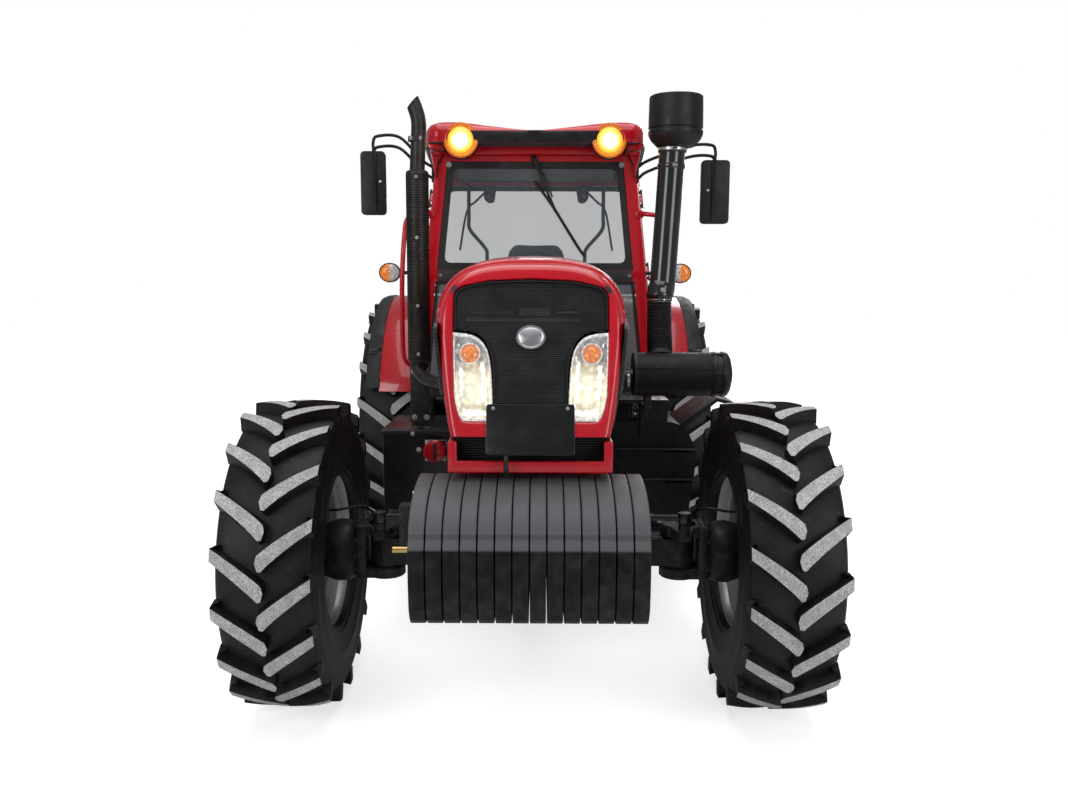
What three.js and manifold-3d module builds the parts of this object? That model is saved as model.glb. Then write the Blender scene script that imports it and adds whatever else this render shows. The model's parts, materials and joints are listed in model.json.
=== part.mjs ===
// Four-wheel-drive farm tractor with front ballast, closed cab and rear hitch.
// Millimetres, +Z up, nose toward -Y, the tractor's own left toward +X.
import * as THREE from 'three';
import { mergeVertices } from 'three/addons/utils/BufferGeometryUtils.js';
import Module from 'manifold-3d';

const wasm = await Module();
wasm.setup();

// ---- Driving dimensions -------------------------------------------------
const WHEELBASE = 2690;
const FRONT_TYRE_RADIUS = 660;
const FRONT_TYRE_WIDTH = 385;
const FRONT_WHEEL_X = 1010;
const FRONT_RIM_RADIUS = 330;
const REAR_TYRE_RADIUS = 845;
const REAR_TYRE_WIDTH = 470;
const REAR_WHEEL_X = 895;
const REAR_RIM_RADIUS = 480;
const FRONT_DISC_X = 60;
const FRONT_HUB_FACE = -15;
const REAR_DISC_X = 20;
const REAR_HUB_FACE = -180;
const WHEEL_FACETS = 32;
const KINGPIN_X = 640;
const STEER_ARM = 165;

const CAB_FRONT_Y = 1500;
const CAB_REAR_Y = 2910;
const CAB_FLOOR_Z = 1150;
const CAB_BELT_Z = 1884;
const CAB_TOP_Z = 2585;
const CAB_HALF_WIDTH = 640;
const CAB_FLARE = 0.12;
const CAB_TUMBLEHOME = 0.11;
const PILLAR = 68;
const DOOR_HINGE_Y = 2403;

const HOOD_FRONT_Y = -945;
const HOOD_REAR_Y = 1440;
const HOOD_BOTTOM_Z = 1312;
const HOOD_FACE_SLOPE = 0.32;
const HOOD_SKIN = 6;
const HOOD_HINGE_Y = 1420;
const HOOD_HINGE_Z = 1900;

const FENDER_RADIUS = 875;
const FENDER_SKIN = 10;
const FENDER_INNER_X = 600;
const FENDER_OUTER_X = 985;

const BALLAST_PLATES = 14;
const BALLAST_HALF_WIDTH = 383;
const FRAME_FRONT_Y = -720;
const FRAME_HALF_WIDTH = 220;
const ENGINE_FRONT_Y = 150;
const ENGINE_REAR_Y = 850;
const ENGINE_HALF_WIDTH = 240;
const GEARBOX_HALF_WIDTH = 210;
const GEARBOX_REAR_Y = WHEELBASE + 260;
const SIDE_BOX_FRONT_Y = 900;
const SIDE_BOX_REAR_Y = 1470;

const LIFT_SHAFT = [WHEELBASE + 90, 1130];
const LIFT_SHAFT_RADIUS = 40;
const LIFT_ARM_LENGTH = 300;
const LIFT_ARM_ANGLE = -15;
const LOWER_PIVOT = [WHEELBASE + 170, 470];
const LOWER_LINK_ANGLE = -12;
const LOWER_LINK_LENGTH = 700;
const LIFT_ROD_REACH = 400;

// ---- Fits ---------------------------------------------------------------
const SEAT = 0.3;
const PIVOT_GAP = 0.7;
const RUNNING = 5;

const rad = (degrees) => (degrees * Math.PI) / 180;
const FRONT_AXLE_Z = FRONT_TYRE_RADIUS;
const REAR_AXLE_Z = REAR_TYRE_RADIUS;

// ---- Solid helpers ------------------------------------------------------
function signedVolume(position, index) {
  const a = new THREE.Vector3();
  const b = new THREE.Vector3();
  const c = new THREE.Vector3();
  let volume = 0;
  for (let i = 0; i < index.length; i += 3) {
    a.fromBufferAttribute(position, index[i]);
    b.fromBufferAttribute(position, index[i + 1]);
    c.fromBufferAttribute(position, index[i + 2]);
    volume += a.dot(b.cross(c)) / 6;
  }
  return volume;
}

function solid(geometry) {
  const bare = new THREE.BufferGeometry();
  bare.setAttribute('position', geometry.getAttribute('position').clone());
  if (geometry.index) bare.setIndex(geometry.index.clone());
  const merged = mergeVertices(bare, 1e-3);
  const position = merged.getAttribute('position');
  const kept = [];
  const raw = merged.index.array;
  for (let i = 0; i < raw.length; i += 3) {
    const [a, b, c] = [raw[i], raw[i + 1], raw[i + 2]];
    if (a !== b && b !== c && c !== a) kept.push(a, b, c);
  }
  if (signedVolume(position, kept) < 0) kept.reverse();
  const mesh = new wasm.Mesh({
    numProp: 3,
    vertProperties: new Float32Array(position.array),
    triVerts: new Uint32Array(kept),
  });
  return new wasm.Manifold(mesh);
}

function geometryOf(body) {
  const mesh = body.getMesh();
  const geometry = new THREE.BufferGeometry();
  geometry.setAttribute('position', new THREE.BufferAttribute(new Float32Array(mesh.vertProperties), 3));
  geometry.setIndex(new THREE.BufferAttribute(new Uint32Array(mesh.triVerts), 1));
  return geometry;
}

function warp(body, move) {
  const geometry = geometryOf(body);
  const position = geometry.getAttribute('position');
  const point = new THREE.Vector3();
  for (let i = 0; i < position.count; i += 1) {
    point.fromBufferAttribute(position, i);
    move(point);
    position.setXYZ(i, point.x, point.y, point.z);
  }
  return solid(geometry);
}

const mirrored = (body) => warp(body, (p) => { p.x = -p.x; });
const onSide = (body, side) => (side < 0 ? mirrored(body) : body);
const union = (parts) => parts.reduce((whole, part) => whole.add(part));

function box(x0, x1, y0, y1, z0, z1) {
  const geometry = new THREE.BoxGeometry(x1 - x0, y1 - y0, z1 - z0);
  geometry.translate((x0 + x1) / 2, (y0 + y1) / 2, (z0 + z1) / 2);
  return solid(geometry);
}

// A polygon drawn in the plane across `axis`, pushed from `from` to `to`.
function prism(axis, points, from, to) {
  const shape = new THREE.Shape(points.map(([u, v]) => new THREE.Vector2(u, v)));
  const geometry = new THREE.ExtrudeGeometry(shape, { depth: to - from, bevelEnabled: false });
  geometry.translate(0, 0, from);
  const position = geometry.getAttribute('position');
  for (let i = 0; i < position.count; i += 1) {
    const [u, v, w] = [position.getX(i), position.getY(i), position.getZ(i)];
    if (axis === 'x') position.setXYZ(i, w, u, v);
    if (axis === 'y') position.setXYZ(i, u, w, v);
    if (axis === 'z') position.setXYZ(i, u, v, w);
  }
  return solid(geometry);
}

// A closed profile of [radius, along] turned about an axis through `centre`.
function turned(axis, centre, profile, segments) {
  const points = profile.map(([r, along]) => new THREE.Vector2(r, along));
  points.push(points[0].clone());
  const geometry = new THREE.LatheGeometry(points, segments);
  if (axis === 'x') geometry.rotateZ(-Math.PI / 2);
  if (axis === 'z') geometry.rotateX(Math.PI / 2);
  geometry.translate(...centre);
  return solid(geometry);
}

function rod(axis, centre, radius, from, to, segments = 14) {
  return turned(axis, centre, [[0, from], [radius, from], [radius, to], [0, to]], segments);
}

// A round bar bent along a smooth line.
function bentBar(points, radius, steps = 12, sides = 8) {
  const curve = new THREE.CatmullRomCurve3(points.map((p) => new THREE.Vector3(...p)), false, 'centripetal');
  const shape = new THREE.Shape();
  for (let i = 0; i < sides; i += 1) {
    const angle = (2 * Math.PI * i) / sides;
    const [u, v] = [radius * Math.cos(angle), radius * Math.sin(angle)];
    if (i === 0) shape.moveTo(u, v);
    else shape.lineTo(u, v);
  }
  shape.closePath();
  return solid(new THREE.ExtrudeGeometry(shape, { steps, extrudePath: curve, bevelEnabled: false }));
}

// A straight bar of square section between two points.
function strut(a, b, width, thick) {
  const start = new THREE.Vector3(...a);
  const end = new THREE.Vector3(...b);
  const geometry = new THREE.BoxGeometry(width, thick, start.distanceTo(end));
  const turn = new THREE.Quaternion();
  turn.setFromUnitVectors(new THREE.Vector3(0, 0, 1), end.clone().sub(start).normalize());
  geometry.applyQuaternion(turn);
  geometry.translate(...start.add(end).multiplyScalar(0.5).toArray());
  return solid(geometry);
}

// Closed skin through matching rings of points, ring by ring.
function loft(rings) {
  const count = rings[0].length;
  const positions = rings.flat(2);
  const index = [];
  for (let r = 0; r + 1 < rings.length; r += 1) {
    for (let i = 0; i < count; i += 1) {
      const j = (i + 1) % count;
      const [a, b] = [r * count + i, r * count + j];
      index.push(a, b, b + count, a, b + count, a + count);
    }
  }
  for (const [r, backward] of [[0, true], [rings.length - 1, false]]) {
    const level = new Set(rings[r].map((p) => p[2])).size === 1;
    const flat = rings[r].map(([x, y, z]) => new THREE.Vector2(x, level ? y : z));
    const ringSign = Math.sign(THREE.ShapeUtils.area(flat));
    for (const corners of THREE.ShapeUtils.triangulateShape(flat, [])) {
      const sameWay = Math.sign(THREE.ShapeUtils.area(corners.map((i) => flat[i]))) === ringSign;
      const ids = corners.map((i) => r * count + i);
      index.push(...(sameWay === backward ? ids.reverse() : ids));
    }
  }
  const geometry = new THREE.BufferGeometry();
  geometry.setAttribute('position', new THREE.Float32BufferAttribute(positions, 3));
  geometry.setIndex(index);
  return solid(geometry);
}

// ---- Materials ----------------------------------------------------------
const finish = (color, roughness, metalness) => ({ color, roughness, metalness });
const RED_PAINT = finish(0xb0101c, 0.25, 0.1);
const BLACK_PAINT = finish(0x17181a, 0.5, 0.2);
const BLACK_PLASTIC = finish(0x1b1c1e, 0.65, 0);
const CAST = finish(0x2b2c2e, 0.6, 0.6);
const SILVER = finish(0x8f9193, 0.45, 0.7);
const TYRE = finish(0x202022, 0.9, 0);
const CLEAR = finish(0xb8c4c8, 0.05, 0);
const STEEL = finish(0xb0b2b4, 0.3, 0.9);
const FABRIC = finish(0x4a4c50, 0.9, 0);
const AMBER = finish(0xe07818, 0.2, 0);
const LAMP = finish(0xe8e4d8, 0.1, 0);

const group = new THREE.Group();
group.name = 'farm_tractor';

function add(name, body, look) {
  const material = new THREE.MeshStandardMaterial(look);
  const mesh = new THREE.Mesh(geometryOf(body), material);
  mesh.name = name;
  group.add(mesh);
}

// ---- Wheels -------------------------------------------------------------
function tyreProfile(radius, width, rim, flangeHalf) {
  const half = width / 2;
  const seat = flangeHalf - 12.5;
  const wall = radius - rim;
  const side = [
    [rim + SEAT, seat],
    [rim + 30, seat],
    [rim + 0.3 * wall, half * 0.96],
    [rim + 0.52 * wall, half],
    [rim + 0.84 * wall, half * 0.97],
    [radius - 14, half * 0.82],
    [radius, half * 0.5],
  ];
  const back = side.map(([r, x]) => [r, -x]).reverse();
  return [...side, ...back];
}

function rimProfile(rim, flangeHalf, discX, hubRadius, hubDepth) {
  const inner = rim - 9;
  return [
    [0, discX + 60],
    [hubRadius * 0.75, discX + 60],
    [hubRadius * 0.85, discX + 14],
    [rim * 0.72, discX + 14],
    [rim * 0.8, discX + 40],
    [inner, discX + 40],
    [inner, flangeHalf],
    [rim + 26, flangeHalf],
    [rim + 26, flangeHalf - 10],
    [rim, flangeHalf - 12],
    [rim, 12 - flangeHalf],
    [rim + 26, 10 - flangeHalf],
    [rim + 26, -flangeHalf],
    [inner, -flangeHalf],
    [inner, discX + 26],
    [rim * 0.8, discX + 26],
    [rim * 0.72, discX],
    [hubRadius, discX],
    [hubRadius, discX - hubDepth],
    [0, discX - hubDepth],
  ];
}

function wheel(name, side, centre, tyre, rim) {
  const outward = (profile, segments) => onSide(turned('x', [0, 0, 0], profile, segments), side);
  const place = (body) => warp(body, (p) => { p.x += centre[0]; p.y += centre[1]; p.z += centre[2]; });
  add(`${name}_tyre`, place(outward(tyreProfile(tyre.radius, tyre.width, rim.radius, rim.half), WHEEL_FACETS)), TYRE);
  add(`${name}_rim`, place(outward(rimProfile(rim.radius, rim.half, rim.disc, rim.hub, rim.depth), WHEEL_FACETS)), SILVER);
}

function buildWheels() {
  const frontTyre = { radius: FRONT_TYRE_RADIUS, width: FRONT_TYRE_WIDTH };
  const frontRim = {
    radius: FRONT_RIM_RADIUS, half: 170, disc: FRONT_DISC_X, hub: 130, depth: FRONT_DISC_X - FRONT_HUB_FACE,
  };
  const rearTyre = { radius: REAR_TYRE_RADIUS, width: REAR_TYRE_WIDTH };
  const rearRim = {
    radius: REAR_RIM_RADIUS, half: 205, disc: REAR_DISC_X, hub: 150, depth: REAR_DISC_X - REAR_HUB_FACE,
  };
  for (const [word, side] of [['left', 1], ['right', -1]]) {
    wheel(`front_${word}`, side, [side * FRONT_WHEEL_X, 0, FRONT_AXLE_Z], frontTyre, frontRim);
    wheel(`rear_${word}`, side, [side * REAR_WHEEL_X, WHEELBASE, REAR_AXLE_Z], rearTyre, rearRim);
  }
}

// ---- Front axle and steering ---------------------------------------------
const EYE_TOP_Z = FRONT_AXLE_Z + 75;
const EYE_BOTTOM_Z = FRONT_AXLE_Z - 60;
const CYLINDER_Z = FRONT_AXLE_Z + 190;

function frontAxle() {
  const z = FRONT_AXLE_Z;
  const half = [
    [0, z - 70], [180, z - 75], [330, z - 50], [KINGPIN_X, z - 50],
    [KINGPIN_X, z + 65], [300, z + 75], [170, z + 105], [0, z + 105],
  ];
  const outline = [...half, ...half.slice(1, -1).map(([x, h]) => [-x, h]).reverse()];
  const parts = [prism('y', outline, -65, 65)];
  parts.push(turned('y', [0, 0, z], [[0, -72], [122, -72], [122, 58], [60, 72], [60, 240], [0, 240]], 18));
  parts.push(rod('y', [0, 0, z], 60, -112, -60, 18));
  parts.push(rod('y', [0, 0, z - 55], 26, 150, ENGINE_REAR_Y - SEAT, 14));
  for (const side of [1, -1]) {
    parts.push(rod('z', [side * KINGPIN_X, 0, 0], 70, EYE_BOTTOM_Z, EYE_TOP_Z, 16));
    const saddle = box(255, 285, -STEER_ARM - 40, -40, z + 60, CYLINDER_Z + 40);
    parts.push(onSide(saddle, side));
  }
  const barrel = [[15, -330], [36, -330], [36, 330], [15, 330]];
  parts.push(turned('x', [0, -STEER_ARM, CYLINDER_Z], barrel, 20));
  const bore = rod('x', [0, -STEER_ARM, CYLINDER_Z], 15, -340, 340, 20);
  return union(parts).subtract(bore);
}

function knuckle(side) {
  const x = KINGPIN_X;
  const parts = [];
  parts.push(rod('z', [x, 0, 0], 82, EYE_TOP_Z + PIVOT_GAP, EYE_TOP_Z + 50, 16));
  parts.push(rod('z', [x, 0, 0], 82, EYE_BOTTOM_Z - 50, EYE_BOTTOM_Z - PIVOT_GAP, 16));
  parts.push(box(x + 75, x + 130, -80, 80, EYE_BOTTOM_Z - 50, EYE_TOP_Z + 50));
  parts.push(box(x, x + 100, -80, 80, EYE_TOP_Z + PIVOT_GAP, EYE_TOP_Z + 50));
  parts.push(box(x, x + 100, -80, 80, EYE_BOTTOM_Z - 50, EYE_BOTTOM_Z - PIVOT_GAP));
  const hubFace = FRONT_WHEEL_X + FRONT_HUB_FACE - PIVOT_GAP;
  const inner = x + 120;
  const along = (share) => inner + share * (hubFace - inner);
  const hub = [
    [0, inner], [150, inner], [178, along(0.13)], [178, along(0.38)], [150, along(0.51)], [140, hubFace], [0, hubFace],
  ];
  parts.push(turned('x', [0, 0, FRONT_AXLE_Z], hub, 18));
  const arm = [[x - 45, -60], [x - 26, -STEER_ARM - 20], [x + 26, -STEER_ARM - 20], [x + 60, -60]];
  parts.push(prism('z', arm, EYE_TOP_Z + 15, EYE_TOP_Z + 50));
  parts.push(rod('z', [x, -STEER_ARM, 0], 26, EYE_TOP_Z + 40, CYLINDER_Z - 22 - PIVOT_GAP, 16));
  return onSide(union(parts), side);
}

function steeringRod() {
  const parts = [rod('x', [0, -STEER_ARM, CYLINDER_Z], 14, -KINGPIN_X, KINGPIN_X, 14)];
  for (const side of [1, -1]) {
    const eye = rod('z', [side * KINGPIN_X, -STEER_ARM, 0], 30, CYLINDER_Z - 22, CYLINDER_Z + 22, 18);
    parts.push(eye);
  }
  return union(parts);
}

// ---- Chassis --------------------------------------------------------------
function frontFrame() {
  const z = FRONT_AXLE_Z;
  const side = [
    [FRAME_FRONT_Y, 860], [-230, 820], [-225, z + 250], [-95, z + 250], [-95, z + 130],
    [ENGINE_FRONT_Y - SEAT, z + 130], [ENGINE_FRONT_Y - SEAT, 1100], [FRAME_FRONT_Y, 1100],
  ];
  const block = prism('x', side, -FRAME_HALF_WIDTH, FRAME_HALF_WIDTH);
  const parts = [block];
  for (const [y0, y1] of [[-112, -72 - RUNNING], [72 + RUNNING, 112]]) {
    parts.push(box(-120, 120, y0, y1, z - 90, z + 260));
  }
  const bore = rod('y', [0, 0, z], 60 + SEAT, -130, 130, 18);
  return union(parts).subtract(bore);
}

function engine() {
  const z = FRONT_AXLE_Z;
  const side = [
    [ENGINE_FRONT_Y, z + 90], [330, z + 70], [360, z - 20], [ENGINE_REAR_Y, z - 20],
    [ENGINE_REAR_Y, 1400], [ENGINE_FRONT_Y + 40, 1400], [ENGINE_FRONT_Y, 1360],
  ];
  return prism('x', side, -ENGINE_HALF_WIDTH, ENGINE_HALF_WIDTH);
}

function transmission() {
  const y0 = ENGINE_REAR_Y + SEAT;
  const z = REAR_AXLE_Z;
  const side = [
    [y0, 590], [y0 + 650, 560], [GEARBOX_REAR_Y - 600, 560], [GEARBOX_REAR_Y - 530, 520],
    [GEARBOX_REAR_Y, 520], [GEARBOX_REAR_Y, 1060], [GEARBOX_REAR_Y - 550, 1060],
    [GEARBOX_REAR_Y - 650, 980], [y0, 980],
  ];
  const parts = [prism('x', side, -GEARBOX_HALF_WIDTH, GEARBOX_HALF_WIDTH)];
  const hubFace = REAR_WHEEL_X + REAR_HUB_FACE - PIVOT_GAP;
  const trumpet = [
    [0, 180], [170, 180], [150, 330], [112, 420], [112, 560], [145, 575], [145, hubFace], [0, hubFace],
  ];
  for (const s of [1, -1]) {
    parts.push(onSide(turned('x', [0, WHEELBASE, z], trumpet, 16), s));
    parts.push(onSide(box(200, 419, 1590, 1650, 960, 1040), s));
    parts.push(onSide(box(200, 419, 2440, 2500, 960, 1040), s));
    parts.push(onSide(box(200, 420 - SEAT, 1000, 1060, 740, 800), s));
    parts.push(onSide(box(200, 420 - SEAT, 1340, 1400, 740, 800), s));
    const ear = box(150, 214, LOWER_PIVOT[0] - 40, LOWER_PIVOT[0] + 40, LOWER_PIVOT[1] - 40, 560);
    parts.push(onSide(ear, s));
  }
  parts.push(rod('y', [0, 0, 700], 90, GEARBOX_REAR_Y - 10, GEARBOX_REAR_Y + 30, 16));
  parts.push(rod('y', [0, 0, 700], 18, GEARBOX_REAR_Y + 20, GEARBOX_REAR_Y + 110, 12));
  parts.push(box(-60, 60, GEARBOX_REAR_Y - 50, GEARBOX_REAR_Y + 60, 940, 1050));
  const shaftSeat = rod('x', [0, ...LIFT_SHAFT], LIFT_SHAFT_RADIUS + 1, -400, 400, 20);
  for (const s of [1, -1]) {
    parts.push(onSide(box(120, 200, LIFT_SHAFT[0] - 70, LIFT_SHAFT[0] + 70, 1050, LIFT_SHAFT[1] + 65), s));
  }
  return union(parts).subtract(shaftSeat);
}

function drawbar() {
  const end = GEARBOX_REAR_Y + 450;
  const parts = [box(-45, 45, GEARBOX_REAR_Y - 450, end, 430, 465)];
  parts.push(box(-90, 90, GEARBOX_REAR_Y - 390, GEARBOX_REAR_Y - 310, 425, 560));
  parts.push(box(-90, 90, GEARBOX_REAR_Y - 100, GEARBOX_REAR_Y - 20, 425, 560));
  parts.push(rod('z', [0, end, 0], 45, 430, 465, 20));
  return union(parts).subtract(rod('z', [0, end, 0], 16, 400, 500, 16));
}

function radiator() {
  return box(-225, 225, -560, -420, 1050, 1700);
}

function ballast() {
  const pitch = (2 * BALLAST_HALF_WIDTH) / BALLAST_PLATES;
  const outline = [
    [-790, 760], [-1080, 740], [-1125, 790], [-1163, 900], [-1172, 1010], [-1152, 1070],
    [-1095, 1118], [-960, 1158], [-820, 1172], [-790, 1150],
  ];
  const parts = [];
  for (let i = 0; i < BALLAST_PLATES; i += 1) {
    const x = -BALLAST_HALF_WIDTH + i * pitch;
    parts.push(prism('x', outline, x + 1, x + pitch - 1));
  }
  parts.push(box(-BALLAST_HALF_WIDTH, BALLAST_HALF_WIDTH, -800, FRAME_FRONT_Y - SEAT, 880, 1090));
  parts.push(box(-460, -BALLAST_HALF_WIDTH + 5, -830, -760, 916, 1059));
  return union(parts);
}

function lowerFascia() {
  const outer = [[-276, -930], [276, -930], [276, -560], [256, -560], [256, -900], [-256, -900], [-256, -560], [-276, -560]];
  const skirt = prism('z', outer, 1195, 1302);
  const opening = box(-246, 246, -960, -880, 1234, 1310);
  const web = box(-276, 276, -700, -688, 1100 + SEAT, 1240);
  return skirt.subtract(opening).add(web);
}

// ---- Hood -----------------------------------------------------------------
const faceY = (z) => HOOD_FRONT_Y + (z - HOOD_BOTTOM_Z) * HOOD_FACE_SLOPE;
const onFace = (body) => warp(body, (p) => { p.y += faceY(p.z); });

// Half of the hood's arch, from the bottom edge up to the middle of the top.
function hoodArch({ bottom, side, bottomZ, sideZ, topZ }) {
  const points = [[bottom, bottomZ], [(bottom + side) / 2 + 2, (bottomZ + sideZ) / 2]];
  const steps = 6;
  for (let i = 0; i <= steps; i += 1) {
    const t = (Math.PI / 2) * (i / steps);
    const x = side * Math.cos(t) ** 0.62;
    const z = sideZ + (topZ - sideZ) * Math.sin(t) ** 0.62;
    points.push([i === steps ? 0 : x, z]);
  }
  return points;
}

const FACE_ARCH = { bottom: 268, side: 316, bottomZ: HOOD_BOTTOM_Z, sideZ: 1650, topZ: 1892 };
const HOOD_STATIONS = [
  { y: null, ...FACE_ARCH },
  { y: -640, bottom: 300, side: 338, bottomZ: HOOD_BOTTOM_Z, sideZ: 1650, topZ: 1912 },
  { y: -300, bottom: 338, side: 366, bottomZ: HOOD_BOTTOM_Z + 20, sideZ: 1640, topZ: 1928 },
  { y: 300, bottom: 378, side: 392, bottomZ: HOOD_BOTTOM_Z + 96, sideZ: 1630, topZ: 1940 },
  { y: HOOD_REAR_Y, bottom: 405, side: 410, bottomZ: HOOD_BOTTOM_Z + 108, sideZ: 1630, topZ: 1950 },
];

function hoodRing(station, inset) {
  const shrunk = {
    bottom: station.bottom - inset,
    side: station.side - inset,
    bottomZ: station.bottomZ,
    sideZ: station.sideZ,
    topZ: station.topZ - inset,
  };
  const half = hoodArch(shrunk);
  const whole = [...half, ...half.slice(0, -1).map(([x, z]) => [-x, z]).reverse()];
  return whole.map(([x, z]) => [x, station.y === null ? faceY(z) : station.y, z]);
}

function hoodSkin() {
  const rings = HOOD_STATIONS.map((station) => {
    const outer = hoodRing(station, 0);
    const inner = hoodRing(station, HOOD_SKIN);
    return [...outer, ...inner.reverse()];
  });
  return loft(rings);
}

const GRILLE_HALF = [
  [0, 1368], [118, 1368], [122, 1425], [128, 1550], [148, 1623], [178, 1652], [220, 1664],
  [263, 1668], [264, 1790], [235, 1814], [150, 1832], [0, 1839],
];
const LAMP_OUTLINE = [
  [226, 1368], [256, 1445], [264, 1660], [222, 1656], [181, 1645], [153, 1617], [134, 1549],
  [128, 1424], [152, 1368],
];

function bothHalves(half) {
  const inner = half.filter(([x]) => x !== 0);
  return [...half, ...inner.map(([x, z]) => [-x, z]).reverse()];
}

function faceFrame() {
  const half = hoodArch(FACE_ARCH);
  const arch = [...half, ...half.slice(0, -1).map(([x, z]) => [-x, z]).reverse()];
  const opening = [
    [-226.4, 1367.5], [226.4, 1367.5], [256.4, 1445], [264.4, 1668], [264.4, 1790], [235.2, 1814.3],
    [150, 1832.4], [-150, 1832.4], [-235.2, 1814.3], [-264.4, 1790], [-264.4, 1668], [-256.4, 1445],
  ];
  opening.splice(7, 0, [0, 1839.4]);
  const plate = prism('y', arch, 0, 24);
  return onFace(plate.subtract(prism('y', opening, -20, 60)));
}

function hood() {
  const parts = [hoodSkin(), faceFrame()];
  for (const side of [1, -1]) {
    parts.push(onSide(box(185 + PIVOT_GAP, 200, HOOD_HINGE_Y - 20, HOOD_HINGE_Y + 15, HOOD_HINGE_Z - 15, 1943), side));
  }
  return union(parts);
}

function grille() {
  return onFace(prism('y', bothHalves(GRILLE_HALF), 6, 16));
}

function headlamp(side) {
  return onSide(onFace(prism('y', LAMP_OUTLINE, 2, 40)), side);
}

function numberPlate() {
  return onFace(prism('y', [[-147, 1262], [147, 1262], [147, 1425], [-147, 1425]], -8, -SEAT));
}

// ---- Cab ------------------------------------------------------------------
const cabSideX = (y, z) => CAB_HALF_WIDTH + CAB_FLARE * (y - CAB_FRONT_Y) - CAB_TUMBLEHOME * (z - CAB_BELT_Z);
const onCabSide = (body) => warp(body, (p) => { p.x += cabSideX(p.y, p.z); });

const DOOR_OUTLINE = [
  [1570, 1222], [1758, 1222], [1762, 1480], [2385, 1802], [2396, 1830], [2396, 2500], [1570, 2500],
];
const DOOR_GLASS = [
  [1606, 1262], [1722, 1262], [1724, 1504], [2354, 1828], [2360, 1850], [2360, 2464], [1606, 2464],
];
const QUARTER_OPENING = [[2470, 1800], [2850, 1800], [2850, 2510], [2470, 2510]];

const fenderDisc = (radius, x0, x1) => rod('x', [0, WHEELBASE, REAR_AXLE_Z], radius, x0, x1, 40);

function cabSideFrame() {
  const outline = [
    [CAB_FRONT_Y, CAB_FLOOR_Z], [1800, CAB_FLOOR_Z], [1800, 1212], [1768, 1212], [1772, 1474], [2390, 1792],
    [2410, 1796], [2410, 1600], [CAB_REAR_Y, 1600], [CAB_REAR_Y, CAB_TOP_Z], [CAB_FRONT_Y, CAB_TOP_Z],
  ];
  const doorway = [
    [1562, 1212], [1780, 1212], [1768, 1474], [2388, 1794], [2404, 1826], [2404, 2510], [1562, 2510],
  ];
  const wall = prism('x', outline, -PILLAR, 0).subtract(prism('x', doorway, -100, 50));
  const pierced = wall.subtract(prism('x', QUARTER_OPENING, -100, 50));
  return onCabSide(pierced);
}

const HINGE_LEVELS = [1900, 2380];
const HINGE_OUT = 14;
const HINGE_RADIUS = 7;
const HINGE_GAP = 0.95;
const DOOR_BARREL = 52;
const PILLAR_BARREL = 34;

// Barrels on the hinge line at the given heights, each with a shorter leaf to its panel.
function hingeHalf(levels, length, y0, y1) {
  const parts = [];
  for (const level of levels) {
    const reach = length / 2;
    parts.push(rod('z', [HINGE_OUT, DOOR_HINGE_Y, 0], HINGE_RADIUS, level - reach, level + reach, 10));
    parts.push(box(-5, HINGE_OUT, y0, y1, level - reach + 7, level + reach - 7));
  }
  return parts.map(onCabSide);
}

function cabFrame() {
  const parts = [];
  const frontX = (z) => cabSideX(CAB_FRONT_Y, z) - 1;
  const rearX = (z) => cabSideX(CAB_REAR_Y, z) - 1;
  const across = (halfAt, y0, y1, z0, z1) => prism(
    'y', [[-halfAt(z0), z0], [halfAt(z0), z0], [halfAt(z1), z1], [-halfAt(z1), z1]], y0, y1,
  );
  parts.push(across(frontX, CAB_FRONT_Y, 1560, 1831, 1898));
  parts.push(across(frontX, CAB_FRONT_Y, 1560, 2512, CAB_TOP_Z));
  parts.push(across(frontX, CAB_FRONT_Y, 1560, CAB_FLOOR_Z, 1250));
  parts.push(box(-440, 440, CAB_FRONT_Y, 1530, CAB_FLOOR_Z, 1860));
  parts.push(across(rearX, 2850, CAB_REAR_Y, 2510, CAB_TOP_Z));
  parts.push(box(-FENDER_INNER_X + SEAT, FENDER_INNER_X - SEAT, 2870, CAB_REAR_Y, 1300, 1760));
  parts.push(across(rearX, 2850, CAB_REAR_Y, 1742, 1800));
  for (const side of [1, -1]) {
    parts.push(onSide(cabSideFrame(), side));
    const sill = prism('z', [[FENDER_INNER_X, 1500], [690, 1500], [700, 1800], [FENDER_INNER_X, 1800]], CAB_FLOOR_Z, 1212);
    parts.push(onSide(sill, side));
    for (const level of HINGE_LEVELS) {
      const away = (DOOR_BARREL + PILLAR_BARREL) / 2 + HINGE_GAP;
      for (const half of hingeHalf([level - away, level + away], PILLAR_BARREL, DOOR_HINGE_Y + 6, 2440)) {
        parts.push(onSide(half, side));
      }
    }
    parts.push(onSide(box(150, 170, HOOD_HINGE_Y - 12, 1505, HOOD_HINGE_Z - 40, HOOD_HINGE_Z + 12), side));
  }
  parts.push(rod('x', [0, HOOD_HINGE_Y, HOOD_HINGE_Z], 12, -185, 185, 14));
  parts.push(box(-180, 180, 1480, 1505, 1840, 1888));
  const whole = union(parts);
  const wheelRoom = fenderDisc(FENDER_RADIUS + FENDER_SKIN + SEAT, -1200, 1200);
  const bay = box(-FENDER_INNER_X + SEAT, FENDER_INNER_X - SEAT, 1400, 3000, 1000, 1900);
  return whole.subtract(wheelRoom.subtract(bay));
}

function roofRing(z, inset) {
  const [fy, ry] = [1292 + inset, 3010 - inset];
  const half = [
    [0, fy], [540 - inset, fy], [597 - inset, fy + 60], [640 - inset, 1560], [700 - inset, 2400],
    [676 - inset, 2850], [610 - inset, ry], [0, ry],
  ];
  const right = half.slice(1, -1).map(([x, y]) => [-x, y]).reverse();
  return [...half, ...right].map(([x, y]) => [x, y, z]);
}

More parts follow.
